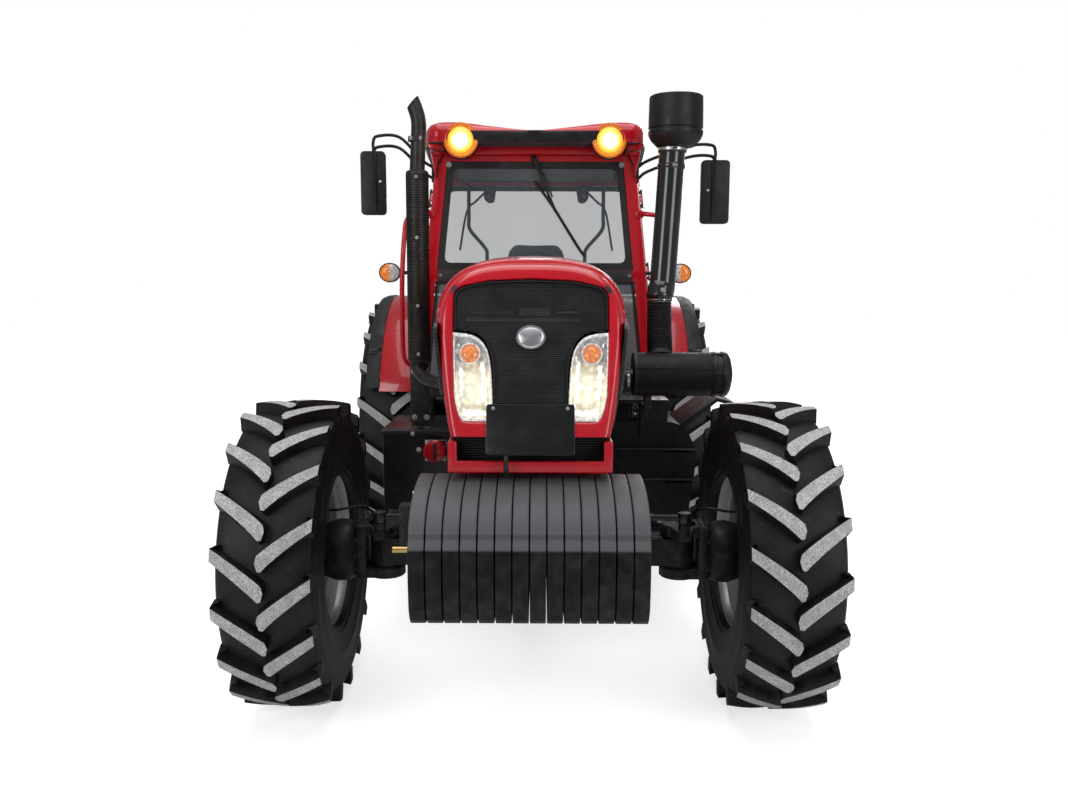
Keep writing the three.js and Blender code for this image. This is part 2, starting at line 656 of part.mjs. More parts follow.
function cabFloor() {
  const half = FENDER_INNER_X - 2 * SEAT;
  const wall = CAB_REAR_Y - 40 - SEAT;
  const parts = [box(-half, half, 1560 + SEAT, 2280, CAB_FLOOR_Z, 1180)];
  parts.push(box(-half, half, 2250, 2280, CAB_FLOOR_Z, 1450));
  parts.push(box(-half, half, 2250, wall, 1420, 1450));
  for (const side of [1, -1]) {
    for (const [y, top] of [[1620, 1155], [2470, 1425]]) {
      parts.push(onSide(rod('z', [340, y, 0], 45, 1040 + SEAT, top, 10), side));
    }
  }
  return union([...parts, seatBase(), dashboard()]);
}

function cabRoof() {
  const crown = loft([roofRing(CAB_TOP_Z + SEAT, 0), roofRing(2660, 0), roofRing(2690, 18), roofRing(2712, 70)]);
  const visor = prism('z', [[-560, 1300], [560, 1300], [575, 1492], [-575, 1492]], 2545, 2640);
  const body = crown.add(visor.subtract(box(-600, 600, 1494, 1700, 2500, 2585 + SEAT)));
  const recess = box(-345, 345, 1200, 1420, 2500, 2662);
  const under = box(-345, 345, 1200, 1492, 2500, 2590);
  const lampSeats = [1, -1].map((s) => rod('y', [s * 410, 0, 2602], 72 + SEAT, 1250, 1320, 18));
  return lampSeats.reduce((roof, seat) => roof.subtract(seat), body.subtract(recess).subtract(under));
}

function workLamp(side) {
  const profile = [[0, 1262], [55, 1266], [72, 1284], [72, 1320 - SEAT], [0, 1320 - SEAT]];
  return turned('y', [side * 410, 0, 2602], profile, 18);
}

function windscreen() {
  const edge = (z) => cabSideX(CAB_FRONT_Y, z) - PILLAR - 1 - SEAT;
  const [z0, z1] = [1898 + SEAT, 2512 - SEAT];
  return prism('y', [[-edge(z0), z0], [edge(z0), z0], [edge(z1), z1], [-edge(z1), z1]], 1512, 1518);
}

function lowerWindow(side) {
  const edge = (z) => cabSideX(CAB_FRONT_Y, z) - PILLAR - 1 - SEAT;
  const [z0, z1] = [1250 + SEAT, 1831 - SEAT];
  const inner = 440 + SEAT;
  return onSide(prism('y', [[inner, z0], [edge(z0), z0], [edge(z1), z1], [inner, z1]], 1512, 1518), side);
}

function rearWindow() {
  const edge = (z) => cabSideX(2880, z) - PILLAR - 4;
  const [z0, z1] = [1800 + SEAT, 2510 - SEAT];
  return prism('y', [[-edge(z0), z0], [edge(z0), z0], [edge(z1), z1], [-edge(z1), z1]], 2880, 2886);
}

// The outline moved inward by `amount`, edge by edge.
function inset(points, amount) {
  const shape = points.map(([u, v]) => new THREE.Vector2(u, v));
  const turnSign = THREE.ShapeUtils.isClockWise(shape) ? -1 : 1;
  return shape.map((here, i) => {
    const before = shape[(i + shape.length - 1) % shape.length];
    const after = shape[(i + 1) % shape.length];
    const d0 = here.clone().sub(before).normalize();
    const d1 = after.clone().sub(here).normalize();
    const n0 = new THREE.Vector2(-d0.y, d0.x).multiplyScalar(turnSign);
    const n1 = new THREE.Vector2(-d1.y, d1.x).multiplyScalar(turnSign);
    const bisector = n0.clone().add(n1).normalize();
    const moved = here.clone().addScaledVector(bisector, amount / bisector.dot(n0));
    return [moved.x, moved.y];
  });
}

function quarterWindow(side) {
  return onSide(onCabSide(prism('x', inset(QUARTER_OPENING, SEAT), -26, -20)), side);
}

function doorFrame(side) {
  const frame = prism('x', DOOR_OUTLINE, -35, 0).subtract(prism('x', DOOR_GLASS, -60, 20));
  const parts = [onCabSide(frame), ...hingeHalf(HINGE_LEVELS, DOOR_BARREL, 2370, DOOR_HINGE_Y - 2)];
  parts.push(onCabSide(box(-5, 34, 1578, 1600, 1640, 1700)));
  parts.push(onCabSide(box(24, 34, 1578, 1600, 1560, 1700)));
  return onSide(union(parts), side);
}

function doorGlass(side) {
  return onSide(onCabSide(prism('x', inset(DOOR_GLASS, SEAT), -23, -17)), side);
}

function fender(side) {
  const [r0, r1] = [FENDER_RADIUS, FENDER_RADIUS + FENDER_SKIN];
  const shell = fenderDisc(r1, FENDER_INNER_X, FENDER_OUTER_X).subtract(fenderDisc(r0, FENDER_INNER_X + 12, 1100));
  const lip = fenderDisc(r1, FENDER_OUTER_X - 8, FENDER_OUTER_X).subtract(fenderDisc(r0 - 15, 900, 1100));
  const cover = [[1700, 1140], [3480, 1140], [3480, 1800], [1700, 1800]];
  const reach = prism('x', cover, FENDER_INNER_X - 10, FENDER_OUTER_X + 10);
  return onSide(shell.add(lip).intersect(reach), side);
}

const COLUMN_TOP = [0, 1860, 1820];
const COLUMN_LEAN = Math.atan2(160, 120);
const columnPoint = (reach) => [
  0, COLUMN_TOP[1] + reach * Math.sin(COLUMN_LEAN), COLUMN_TOP[2] + reach * Math.cos(COLUMN_LEAN),
];

function dashboard() {
  const parts = [prism('x', [
    [1560 + SEAT, 1175], [1720, 1175], [1700, 1600], [1790, 1800], [1600, 1870], [1560 + SEAT, 1870],
  ], -150, 150)];
  parts.push(strut([0, 1700, 1700], columnPoint(20), 70, 70));
  return union(parts);
}

function steeringWheel() {
  const ring = [];
  for (let i = 0; i < 6; i += 1) {
    const angle = (2 * Math.PI * i) / 6;
    ring.push([190 + 14 * Math.cos(angle), 30 + 14 * Math.sin(angle)]);
  }
  const parts = [turned('z', [0, 0, 0], ring, 20), rod('z', [0, 0, 0], 45, 0, 36, 10)];
  for (let i = 0; i < 3; i += 1) {
    const angle = rad(90 + 120 * i);
    parts.push(strut([0, 0, 22], [185 * Math.cos(angle), 185 * Math.sin(angle), 30], 26, 10));
  }
  return union(parts);
}


function placedSteeringWheel() {
  const turn = new THREE.Matrix4().makeRotationX(-COLUMN_LEAN);
  return warp(steeringWheel(), (p) => {
    p.z += 20 + PIVOT_GAP;
    p.applyMatrix4(turn);
    p.y += COLUMN_TOP[1];
    p.z += COLUMN_TOP[2];
  });
}

function seatBase() {
  const parts = [box(-170, 170, 2340, 2700, 1445, 1480), box(-120, 120, 2400, 2640, 1470, 1580)];
  parts.push(box(-200, 200, 2320, 2720, 1570, 1600));
  return union(parts);
}

function seatCushion() {
  const ring = (z, gap) => [
    [-240 + gap, 2250 + gap, z], [240 - gap, 2250 + gap, z], [240 - gap, 2720 - gap, z], [-240 + gap, 2720 - gap, z],
  ];
  return loft([ring(1600 + SEAT, 12), ring(1625, 0), ring(1690, 0), ring(1712, 24)]);
}

function seatBack() {
  const ring = (z, half, gap) => {
    const y = 2580 + (z - 1712) * 0.2;
    return [[-half, y + gap, z], [half, y + gap, z], [half, y + 110 - gap, z], [-half, y + 110 - gap, z]];
  };
  return loft([ring(1690, 225, 8), ring(1760, 240, 0), ring(1980, 228, 0), ring(2070, 205, 10), ring(2112, 160, 35)]);
}

// ---- Things carried outside -------------------------------------------------
const EXHAUST = [-632, 1100];
const INTAKE_Y = 950;

function exhaust() {
  const [x, y] = EXHAUST;
  const parts = [turned('z', [x, y, 0], [[0, 1390], [61, 1390], [61, 2410], [38, 2424], [38, 2560], [0, 2560]], 16)];
  parts.push(bentBar([[x, y, 2550], [x, y, 2640], [x - 8, y, 2700], [x - 40, y, 2762], [x - 60, y, 2782]], 37, 8, 12));
  parts.push(turned('z', [x, y, 0], [[0, 2560], [45, 2560], [45, 2590], [0, 2590]], 14));
  parts.push(bentBar([[x, y, 1420], [x, y - 10, 1340], [x + 90, y - 90, 1290], [-296, 806, 1280]], 36, 10, 10));
  parts.push(bentBar([[-300, 800, 1280], [-ENGINE_HALF_WIDTH - SEAT, 800, 1280]], 44, 1, 12));
  parts.push(box(x - 50, x + 50, y + 20, y + 34, 1047 + SEAT, 1450));
  return union(parts);
}

function airCleaner() {
  const [y, z] = [750, 1366];
  const profile = [[0, 500], [96, 500], [111, 520], [111, 905], [116, 912], [116, 960], [100, 985], [60, 1000], [0, 1000]];
  const parts = [turned('x', [0, y, z], profile, 24)];
  parts.push(rod('x', [0, y, 1340], 42, ENGINE_HALF_WIDTH + SEAT, 520, 16));
  parts.push(prism('z', [[560, y - 20], [600, y - 20], [600, y + 20], [560, y + 20]], 1200, 1280));
  parts.push(box(560, 600, y - 20, SIDE_BOX_FRONT_Y + 20, 1180, 1204));
  parts.push(box(560, 600, SIDE_BOX_FRONT_Y - 14, SIDE_BOX_FRONT_Y - SEAT, 1020, 1204));
  return union(parts);
}

function intakePipe() {
  const parts = [];
  parts.push(bentBar([[640, 760, 1440], [640, 800, 1500], [642, 850, 1560], [646, 870, 1760]], 58, 7, 14));
  parts.push(bentBar([[646, 872, 1750], [666, 905, 1832], [708, INTAKE_Y, 2510]], 68, 3, 16));
  parts.push(rod('z', [708, INTAKE_Y, 0], 74, 2486, 2530, 16));
  const cleaner = rod('x', [0, 750, 1366], 111 + SEAT, 400, 905, 24);
  return union(parts).subtract(cleaner);
}

function precleaner() {
  const profile = [
    [0, 2518], [95, 2518], [128, 2552], [140, 2580], [139, 2660], [135, 2760], [122, 2778], [0, 2778],
  ];
  return turned('z', [722, INTAKE_Y, 0], profile, 24);
}

function fuelTank() {
  const outline = [
    [420, 600], [800, 600], [828, 625], [850, 780], [866, 940], [800, 1075], [720, 1098], [420, 1098],
  ];
  const body = prism('y', outline, SIDE_BOX_FRONT_Y, SIDE_BOX_REAR_Y);
  const grooves = [945, 782].map((z) => box(700, 1000, SIDE_BOX_FRONT_Y - 10, SIDE_BOX_FRONT_Y + 22, z - 12, z + 12));
  const guard = prism('y', [
    [790, 1060], [897, 1150], [966, 1206], [1050, 1186], [1052, 1204], [968, 1226], [886, 1168], [770, 1084],
  ], SIDE_BOX_FRONT_Y, 1300);
  return grooves.reduce((tank, groove) => tank.subtract(groove), body.add(guard));
}

function toolbox() {
  return box(433, 713, 950, 1300, 1080, 1188);
}

function toolboxLid() {
  const lid = box(430, 716, 946, 1304, 1188 + PIVOT_GAP, 1209);
  const hinge = rod('x', [0, 1312, 1198], 7, 440, 706, 10);
  return union([lid, hinge, box(440, 706, 1300, 1312, 1194, 1204)]);
}

function batteryBox() {
  const body = box(-800, -420, SIDE_BOX_FRONT_Y, SIDE_BOX_REAR_Y, 620, 1030);
  const lid = box(-810, -425, SIDE_BOX_FRONT_Y - 10, SIDE_BOX_REAR_Y, 1015, 1047);
  return body.add(lid);
}

function step(side) {
  const parts = [];
  for (const y of [SIDE_BOX_REAR_Y + SEAT, 1782]) {
    parts.push(prism('y', [[600, CAB_FLOOR_Z - SEAT], [640, CAB_FLOOR_Z - SEAT], [840, 480], [840, 430], [800, 430]], y, y + 12));
  }
  for (const [z, x] of [[450, 832], [680, 770], [910, 702]]) {
    parts.push(box(x - 110, x + 40, SIDE_BOX_REAR_Y + 5, 1790, z, z + 24));
  }
  return onSide(union(parts), side);
}

function handrail(side) {
  const beside = CAB_HALF_WIDTH;
  const path = [
    [beside - 44, 1504, 2215], [beside, 1462, 2215], [beside + 82, 1440, 2190], [beside + 108, 1440, 2080],
    [beside + 125, 1440, 1800], [beside + 125, 1440, 1450], [beside + 112, 1446, 1368],
    [beside + 75, 1462, 1350], [beside + 32, 1504, 1350],
  ];
  const footAt = ([x, z]) => box(x - 26, x + 26, 1490, CAB_FRONT_Y - SEAT, z - 26, z + 26);
  const feet = [[beside - 38, 2215], [beside + 36, 1350]].map(footAt);
  const cut = box(400, 900, CAB_FRONT_Y - SEAT, 1600, 1200, 2400);
  return onSide(union([bentBar(path, 14, 16, 6), ...feet]).subtract(cut), side);
}

function mirror(side) {
  const reach = CAB_HALF_WIDTH + (side > 0 ? 373 : 272);
  const head = side > 0 ? { x: reach, z: 2333, half: 80 } : { x: reach, z: 2378, half: 70 };
  const top = head.z + 205;
  const plate = onCabSide(box(SEAT, 12, 1506, 1554, 2395, 2505));
  const parts = [plate];
  for (const drop of [0, 60]) {
    const z = 2480 - drop;
    const path = [
      [cabSideX(1530, z) + 8, 1530, z], [CAB_HALF_WIDTH + 10, 1500, z + 40], [head.x - 150, 1425, top + 50 - drop],
      [head.x - 30, 1402, top + 54 - drop], [head.x, 1402, top + 10 - drop], [head.x, 1402, head.z + 150],
    ];
    parts.push(bentBar(path, 10, 10, 5));
  }
  const outline = [[-1, -0.96], [-0.7, -1], [0.7, -1], [1, -0.96], [1, 0.96], [0.7, 1], [-0.7, 1], [-1, 0.96]];
  const shell = outline.map(([u, v]) => [head.x + u * head.half, head.z + v * 176]);
  parts.push(prism('y', shell, 1380, 1425));
  return onSide(union(parts), side);
}

function indicator(side) {
  const z = 1880;
  const x0 = cabSideX(1510, z) + SEAT;
  const parts = [box(x0 - 3, x0 + 60, 1502, 1526, z - 12, z + 12)];
  const centre = CAB_HALF_WIDTH + 205;
  parts.push(turned('y', [centre, 0, z], [[0, 1488], [40, 1488], [56, 1500], [56, 1524], [40, 1536], [0, 1536]], 14));
  parts.push(box(x0 + 40, centre - 45, 1502, 1526, z - 10, z + 10));
  const post = union(parts).subtract(onCabSide(box(-200, SEAT, 1400, 1700, 1700, 2100)));
  return onSide(post, side);
}

// ---- Rear hitch ---------------------------------------------------------------
const at = (pivot, length, degrees) => [
  pivot[0] + length * Math.cos(rad(degrees)),
  pivot[1] + length * Math.sin(rad(degrees)),
];
const LIFT_END = at(LIFT_SHAFT, LIFT_ARM_LENGTH, LIFT_ARM_ANGLE);
const ROD_FOOT = at(LOWER_PIVOT, LIFT_ROD_REACH, LOWER_LINK_ANGLE);
const LINK_END = at(LOWER_PIVOT, LOWER_LINK_LENGTH, LOWER_LINK_ANGLE);

function liftArms() {
  const parts = [rod('x', [0, ...LIFT_SHAFT], LIFT_SHAFT_RADIUS, -262, 262, 20)];
  for (const side of [1, -1]) {
    const arm = strut([245, ...LIFT_SHAFT], [245, ...LIFT_END], 34, 64);
    parts.push(onSide(arm, side));
    parts.push(onSide(rod('x', [0, ...LIFT_SHAFT], 62, 212, 262, 12), side));
    parts.push(onSide(rod('x', [0, ...LIFT_END], 34, 228, 262, 10), side));
  }
  return union(parts);
}

function liftRod(side) {
  const x = 284;
  const parts = [rod('x', [0, ...LIFT_END], 30, 262 + PIVOT_GAP, 300, 10)];
  parts.push(strut([x, ...LIFT_END], [x, ...ROD_FOOT], 26, 26));
  parts.push(rod('x', [0, ...ROD_FOOT], 28, 268, 309 - PIVOT_GAP, 10));
  return onSide(union(parts), side);
}

function lowerLink(side) {
  const [y1, z1] = LINK_END;
  const parts = [rod('x', [0, ...LOWER_PIVOT], 36, 214 + SEAT, 250, 10)];
  const foot = [335, ...ROD_FOOT];
  parts.push(strut([237, ...LOWER_PIVOT], foot, 24, 60));
  parts.push(strut(foot, [400, y1, z1], 24, 60));
  parts.push(rod('x', [0, ...ROD_FOOT], 30, 309, 345, 10));
  parts.push(rod('x', [0, y1, z1], 42, 378, 422, 12));
  const ball = rod('x', [0, y1, z1], 14, 300, 500, 8);
  return onSide(union(parts).subtract(ball), side);
}

// ---- Assembly -------------------------------------------------------------------
buildWheels();
add('front_axle', frontAxle(), BLACK_PAINT);
add('front_frame', frontFrame().add(radiator()), BLACK_PAINT);
add('engine', engine(), CAST);
add('transmission', transmission().add(drawbar()), BLACK_PAINT);
add('ballast_weights', ballast(), CAST);
add('lower_fascia', lowerFascia(), RED_PAINT);
add('hood', hood(), RED_PAINT);
add('grille', grille(), BLACK_PLASTIC);
add('number_plate', numberPlate(), BLACK_PLASTIC);
add('cab_frame', cabFrame(), RED_PAINT);
add('cab_roof', cabRoof(), RED_PAINT);
add('windscreen', windscreen(), CLEAR);
add('rear_window', rearWindow(), CLEAR);
add('steering_wheel', placedSteeringWheel(), BLACK_PLASTIC);
add('cab_interior', cabFloor(), BLACK_PLASTIC);
add('seat', seatCushion().add(seatBack()), FABRIC);
add('exhaust', exhaust(), BLACK_PAINT);
add('air_cleaner', airCleaner(), BLACK_PLASTIC);
add('intake_stack', intakePipe().add(precleaner()), BLACK_PLASTIC);
add('fuel_tank', fuelTank().add(toolbox()), BLACK_PLASTIC);
add('toolbox_lid', toolboxLid(), BLACK_PLASTIC);
add('battery_box', batteryBox(), BLACK_PLASTIC);
add('steering_rod', steeringRod(), STEEL);
add('lift_arms', liftArms(), BLACK_PAINT);
for (const [word, side] of [['left', 1], ['right', -1]]) {
  add(`headlamp_${word}`, headlamp(side), LAMP);
  add(`work_lamp_${word}`, workLamp(side), LAMP);
  add(`lower_window_${word}`, lowerWindow(side), CLEAR);
  add(`quarter_window_${word}`, quarterWindow(side), CLEAR);
  add(`door_${word}`, doorFrame(side), RED_PAINT);
  add(`door_glass_${word}`, doorGlass(side), CLEAR);
  add(`fender_${word}`, fender(side), RED_PAINT);
  add(`step_${word}`, step(side), BLACK_PAINT);
  add(`handrail_${word}`, handrail(side), RED_PAINT);
  add(`mirror_${word}`, mirror(side), BLACK_PLASTIC);
  add(`indicator_${word}`, indicator(side), AMBER);
  add(`knuckle_${word}`, knuckle(side), BLACK_PAINT);
  add(`lift_rod_${word}`, liftRod(side), BLACK_PAINT);
  add(`lower_link_${word}`, lowerLink(side), BLACK_PAINT);
}

// The tractor stands on the origin: middle of its length and width, wheels at Z = 0.
const bounds = new THREE.Box3().setFromObject(group);
const middleY = (bounds.min.y + bounds.max.y) / 2;
for (const mesh of group.children) mesh.geometry.translate(0, -middleY, 0);

export default group;
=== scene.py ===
# %% [markdown]
# # A four-wheel-drive farm tractor
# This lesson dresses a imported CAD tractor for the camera. The CAD gives every piece its place and
# its size in metres: +Z is up, the nose points to -Y and the tractor's own left side is +X.
# We keep the solids whose shape is right, round their edges, and build finer pieces where a real
# tractor shows more: tyres, lamps, grille, ballast plates, seat, hoses and bolts.

# %% Load the frame
import json
import math

import bmesh
import bpy
from mathutils import Euler, Matrix, Vector


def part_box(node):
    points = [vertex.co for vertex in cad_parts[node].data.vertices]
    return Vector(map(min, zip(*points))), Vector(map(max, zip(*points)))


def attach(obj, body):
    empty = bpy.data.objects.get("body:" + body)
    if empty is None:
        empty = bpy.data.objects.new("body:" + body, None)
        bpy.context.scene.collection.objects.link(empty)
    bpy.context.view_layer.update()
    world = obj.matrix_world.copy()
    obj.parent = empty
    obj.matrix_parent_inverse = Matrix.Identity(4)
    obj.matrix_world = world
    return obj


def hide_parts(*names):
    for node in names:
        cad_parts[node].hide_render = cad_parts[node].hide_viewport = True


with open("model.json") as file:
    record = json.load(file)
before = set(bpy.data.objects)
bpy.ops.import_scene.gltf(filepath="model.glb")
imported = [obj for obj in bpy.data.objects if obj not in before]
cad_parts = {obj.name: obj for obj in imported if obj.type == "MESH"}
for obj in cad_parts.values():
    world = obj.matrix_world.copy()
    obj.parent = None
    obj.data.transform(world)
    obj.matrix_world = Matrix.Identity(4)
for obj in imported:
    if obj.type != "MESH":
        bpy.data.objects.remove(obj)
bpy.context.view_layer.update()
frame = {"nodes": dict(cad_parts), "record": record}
node_body = {node: body for body, nodes in frame["record"]["behaviour"]["bodies"].items() for node in nodes}

# %% [markdown]
# Workshop drawings of a tractor are measured from the front axle. `spot` turns such a drawing
# position in millimetres into metres in the shared frame, with the axle found from the CAD tyre.

# %% Drawing positions
MM = 0.001
tyre_low, tyre_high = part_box("front_left_tyre")
FRONT_AXLE_Y = (tyre_low[1] + tyre_high[1]) / 2
WHEELBASE = 2690
FRONT_AXLE_Z = 660
REAR_AXLE_Z = 845


def spot(x, y, z):
    """A drawing position in millimetres from the front axle, as metres in the shared frame."""
    return Vector((x * MM, FRONT_AXLE_Y + y * MM, z * MM))


print("front axle at y =", round(FRONT_AXLE_Y, 3))

# %% [markdown]
# Finishes, the sky and the repeating trees are all node graphs. Three small helpers build them: one
# puts a socket or a plain value on an input, one feeds several inputs and one adds a node.

# %% Node helpers
def wire(tree, value, socket):
    """Connects a socket to a socket, or writes a plain number or colour on it."""
    if isinstance(value, bpy.types.NodeSocket):
        tree.links.new(value, socket)
    else:
        socket.default_value = value


def feed(tree, node, inputs):
    """Wires a table of input names or numbers to sockets or plain values."""
    for key, value in inputs.items():
        wire(tree, value, node.inputs[key])


def add_node(tree, kind, inputs=None, **settings):
    """A new node with its settings and inputs."""
    node = tree.nodes.new(kind)
    for key, value in settings.items():
        setattr(node, key, value)
    feed(tree, node, inputs or {})
    return node


def object_place(tree):
    """Object coordinates as one vector."""
    return add_node(tree, "ShaderNodeTexCoord").outputs["Object"]


print("node helpers ready")

# %% [markdown]
# ## Camera, floor and light
# The camera stands in front of the nose, a little above the hood line, and looks slightly down.
# A long lens would flatten the tractor, so a moderately wide one keeps the big front wheels.

# %% Camera
camera_data = bpy.data.cameras.new("camera")
camera_data.lens = 31.68
camera_data.sensor_width = 36.0
camera_data.clip_end = 200.0
camera = bpy.data.objects.new("camera", camera_data)
bpy.context.scene.collection.objects.link(camera)
camera.location = spot(31, -4013, 1829)
camera.rotation_euler = Euler([math.radians(a) for a in (82.535, -0.163, 0.376)], "XYZ")
bpy.context.scene.camera = camera
bpy.context.scene.view_settings.view_transform = "Standard"
print("camera at", [round(v, 3) for v in camera.location])

# %% [markdown]
# The floor is plain and pale. It is brightened for camera rays only, less so near the wheels, so
# the backdrop stays white while the tractor itself is lit by the soft lamps alone.

# %% Floor
floor_size = 60.0
floor_mesh = bpy.data.meshes.new("studio_floor")
half = floor_size / 2
floor_mesh.from_pydata(
    [(-half, -half, 0), (half, -half, 0), (half, half, 0), (-half, half, 0)], [], [(0, 1, 2, 3)]
)
floor = bpy.data.objects.new("studio_floor", floor_mesh)
bpy.context.scene.collection.objects.link(floor)
floor.location.z = -0.0005
floor_material = bpy.data.materials.new("pale_floor")
floor_material.use_nodes = True
floor_tree = floor_material.node_tree
NEAR, FAR, DIM, FULL = 3.5, 7.5, 0.66, 1.0
floor_reach = add_node(floor_tree, "ShaderNodeVectorMath", {0: object_place(floor_tree)}, operation="LENGTH")
floor_fade = add_node(floor_tree, "ShaderNodeMapRange", {
    "Value": floor_reach.outputs["Value"], 1: NEAR, 2: FAR, 3: DIM, 4: FULL})
floor_seen = add_node(floor_tree, "ShaderNodeLightPath").outputs["Is Camera Ray"]
floor_glow = add_node(floor_tree, "ShaderNodeMath", {0: floor_seen, 1: floor_fade.outputs[0]}, operation="MULTIPLY")
feed(floor_tree, floor_tree.nodes["Principled BSDF"], {
    "Base Color": (0.86, 0.86, 0.86, 1), "Roughness": 0.8, "Specular IOR Level": 0.1,
    "Emission Color": (1, 1, 1, 1), "Emission Strength": floor_glow.outputs[0]})
floor.data.materials.append(floor_material)

# %% White surroundings
world = bpy.data.worlds.new("white_studio")
bpy.context.scene.world = world
world.use_nodes = True
sky_tree = world.node_tree
sky_tree.nodes.clear()
sky_light = add_node(sky_tree, "ShaderNodeBackground", {"Color": (0.93, 0.96, 1.0, 1), "Strength": 0.3})
sky_seen = add_node(sky_tree, "ShaderNodeBackground", {"Color": (1, 1, 1, 1), "Strength": 1.0})
sky_path = add_node(sky_tree, "ShaderNodeLightPath").outputs
sky_either = add_node(sky_tree, "ShaderNodeMath", {
    0: sky_path["Is Camera Ray"], 1: sky_path["Is Transmission Ray"]}, operation="MAXIMUM")
sky_mix = add_node(sky_tree, "ShaderNodeMixShader", {
    0: sky_either.outputs[0], 1: sky_light.outputs[0], 2: sky_seen.outputs[0]})
add_node(sky_tree, "ShaderNodeOutputWorld", {"Surface": sky_mix.outputs[0]})


def soft_lamp(name, place, aim, size, watts):
    """One large soft panel that looks at a point on the tractor."""
    lamp_data = bpy.data.lights.new(name, "AREA")
    lamp_data.shape = "RECTANGLE"
    lamp_data.size, lamp_data.size_y = size
    lamp_data.energy = watts
    lamp = bpy.data.objects.new(name, lamp_data)
    bpy.context.scene.collection.objects.link(lamp)
    lamp.location = place
    lamp.rotation_euler = (Vector(aim) - Vector(place)).to_track_quat("-Z", "Y").to_euler()
    return lamp


soft_lamp("top_panel", (0.0, -0.6, 6.2), (0, 0, 1.2), (5.0, 7.0), 240)
soft_lamp("front_left_panel", (-4.6, -6.2, 3.6), (0, -0.8, 1.0), (2.6, 3.4), 140)
soft_lamp("front_right_panel", (4.8, -5.8, 3.2), (0, -0.8, 1.0), (2.6, 3.4), 120)
soft_lamp("rear_panel", (1.5, 6.5, 4.2), (0, 1.0, 1.2), (4.0, 3.0), 150)

# %% [markdown]
# ## Finishes
# Real paint, rubber and cast iron are never one flat colour. `finish_of` builds a Principled
# material whose colour drifts a little, whose gloss changes in patches and whose surface has a
# fine grain. Dust settles low on the machine and worn edges go paler. All patterns read Object
# coordinates, so they stay fixed to the piece in every pose.

# %% Material builder
def maths(tree, operation, a, b=0.0, clamp=False):
    return add_node(tree, "ShaderNodeMath", {0: a, 1: b}, operation=operation, use_clamp=clamp).outputs[0]


def blend_colour(tree, factor, a, b):
    return add_node(tree, "ShaderNodeMix", {0: factor, 6: a, 7: b}, data_type="RGBA").outputs[2]


def ramp(tree, value, low, high, out_low=0.0, out_high=1.0):
    numbers = dict(enumerate((value, low, high, out_low, out_high)))
    return add_node(tree, "ShaderNodeMapRange", numbers, interpolation_type="SMOOTHSTEP").outputs[0]


def noise(tree, scale, detail=3.0):
    """Noise on Object coordinates."""
    return add_node(tree, "ShaderNodeTexNoise", {
        "Scale": scale, "Detail": detail, "Vector": object_place(tree)}).outputs[0]


def axes_of(tree, vector):
    """The three parts of a vector as separate numbers."""
    return add_node(tree, "ShaderNodeSeparateXYZ", {0: vector}).outputs


def relief(tree, shader, height, distance, strength):
    """Raises the surface of a shader by a height pattern."""
    bump = add_node(tree, "ShaderNodeBump", {"Strength": strength, "Distance": distance, "Height": height})
    wire(tree, bump.outputs[0], shader.inputs["Normal"])


def shader_of(name):
    material = bpy.data.materials.new(name)
    material.use_nodes = True
    return material, material.node_tree, material.node_tree.nodes["Principled BSDF"]


def finish_of(name, colour, rough, metal=0.0, drift=0.12, patch=6.0, grain=220.0, bump=0.0002,
              coat=0.0, dust=0.0, dust_top=0.9, wear=0.0, wear_colour=(0.5, 0.5, 0.5), specular=0.5):
    """A painted, moulded or cast finish with colour drift, patchy gloss, grain, dust and wear."""
    material, tree, shader = shader_of(name)
    darker = tuple(c * (1 - drift) for c in colour) + (1,)
    lighter = tuple(min(1, c * (1 + drift) + drift * 0.01) for c in colour) + (1,)
    patches = noise(tree, patch, 4.0)
    shade = blend_colour(tree, ramp(tree, patches, 0.3, 0.7), darker, lighter)
    rougher = ramp(tree, noise(tree, patch * 3.7, 5.0), 0.35, 0.7, rough * 0.86, min(1, rough * 1.18))
    if dust:
        low = ramp(tree, axes_of(tree, object_place(tree))[2], 0.15, dust_top, 1.0, 0.25)
        spots = ramp(tree, noise(tree, 23.0, 6.0), 0.42, 0.75, 0.0, dust)
        amount = maths(tree, "MULTIPLY", low, spots)
        shade = blend_colour(tree, amount, shade, (0.19, 0.165, 0.135, 1))
        rougher = maths(tree, "ADD", rougher, maths(tree, "MULTIPLY", amount, 0.5), True)
    if wear:
        edge = ramp(tree, add_node(tree, "ShaderNodeNewGeometry").outputs["Pointiness"], 0.53, 0.6)
        broken = ramp(tree, noise(tree, 60.0, 5.0), 0.4, 0.62, 0.0, wear)
        shade = blend_colour(tree, maths(tree, "MULTIPLY", edge, broken), shade, (*wear_colour, 1))
    feed(tree, shader, {"Base Color": shade, "Roughness": rougher, "Metallic": metal,
                        "Specular IOR Level": specular})
    if coat:
        feed(tree, shader, {"Coat Weight": coat, "Coat Roughness": 0.06})
    relief(tree, shader, noise(tree, grain, 2.0), bump, 0.6)
    return material


def dust_and_skylight_on_top(material, colour, low=0.04, high=0.4):
    """Faces that look upwards turn towards a paler grey-blue: dust that settles there, and painted light from the
    sky above.
    """
    tree = material.node_tree
    target = tree.nodes["Principled BSDF"].inputs["Base Color"]
    before = target.links[0].from_socket
    upward = axes_of(tree, add_node(tree, "ShaderNodeNewGeometry").outputs["Normal"])[2]
    wire(tree, blend_colour(tree, ramp(tree, upward, low, high), before, (*colour, 1)), target)


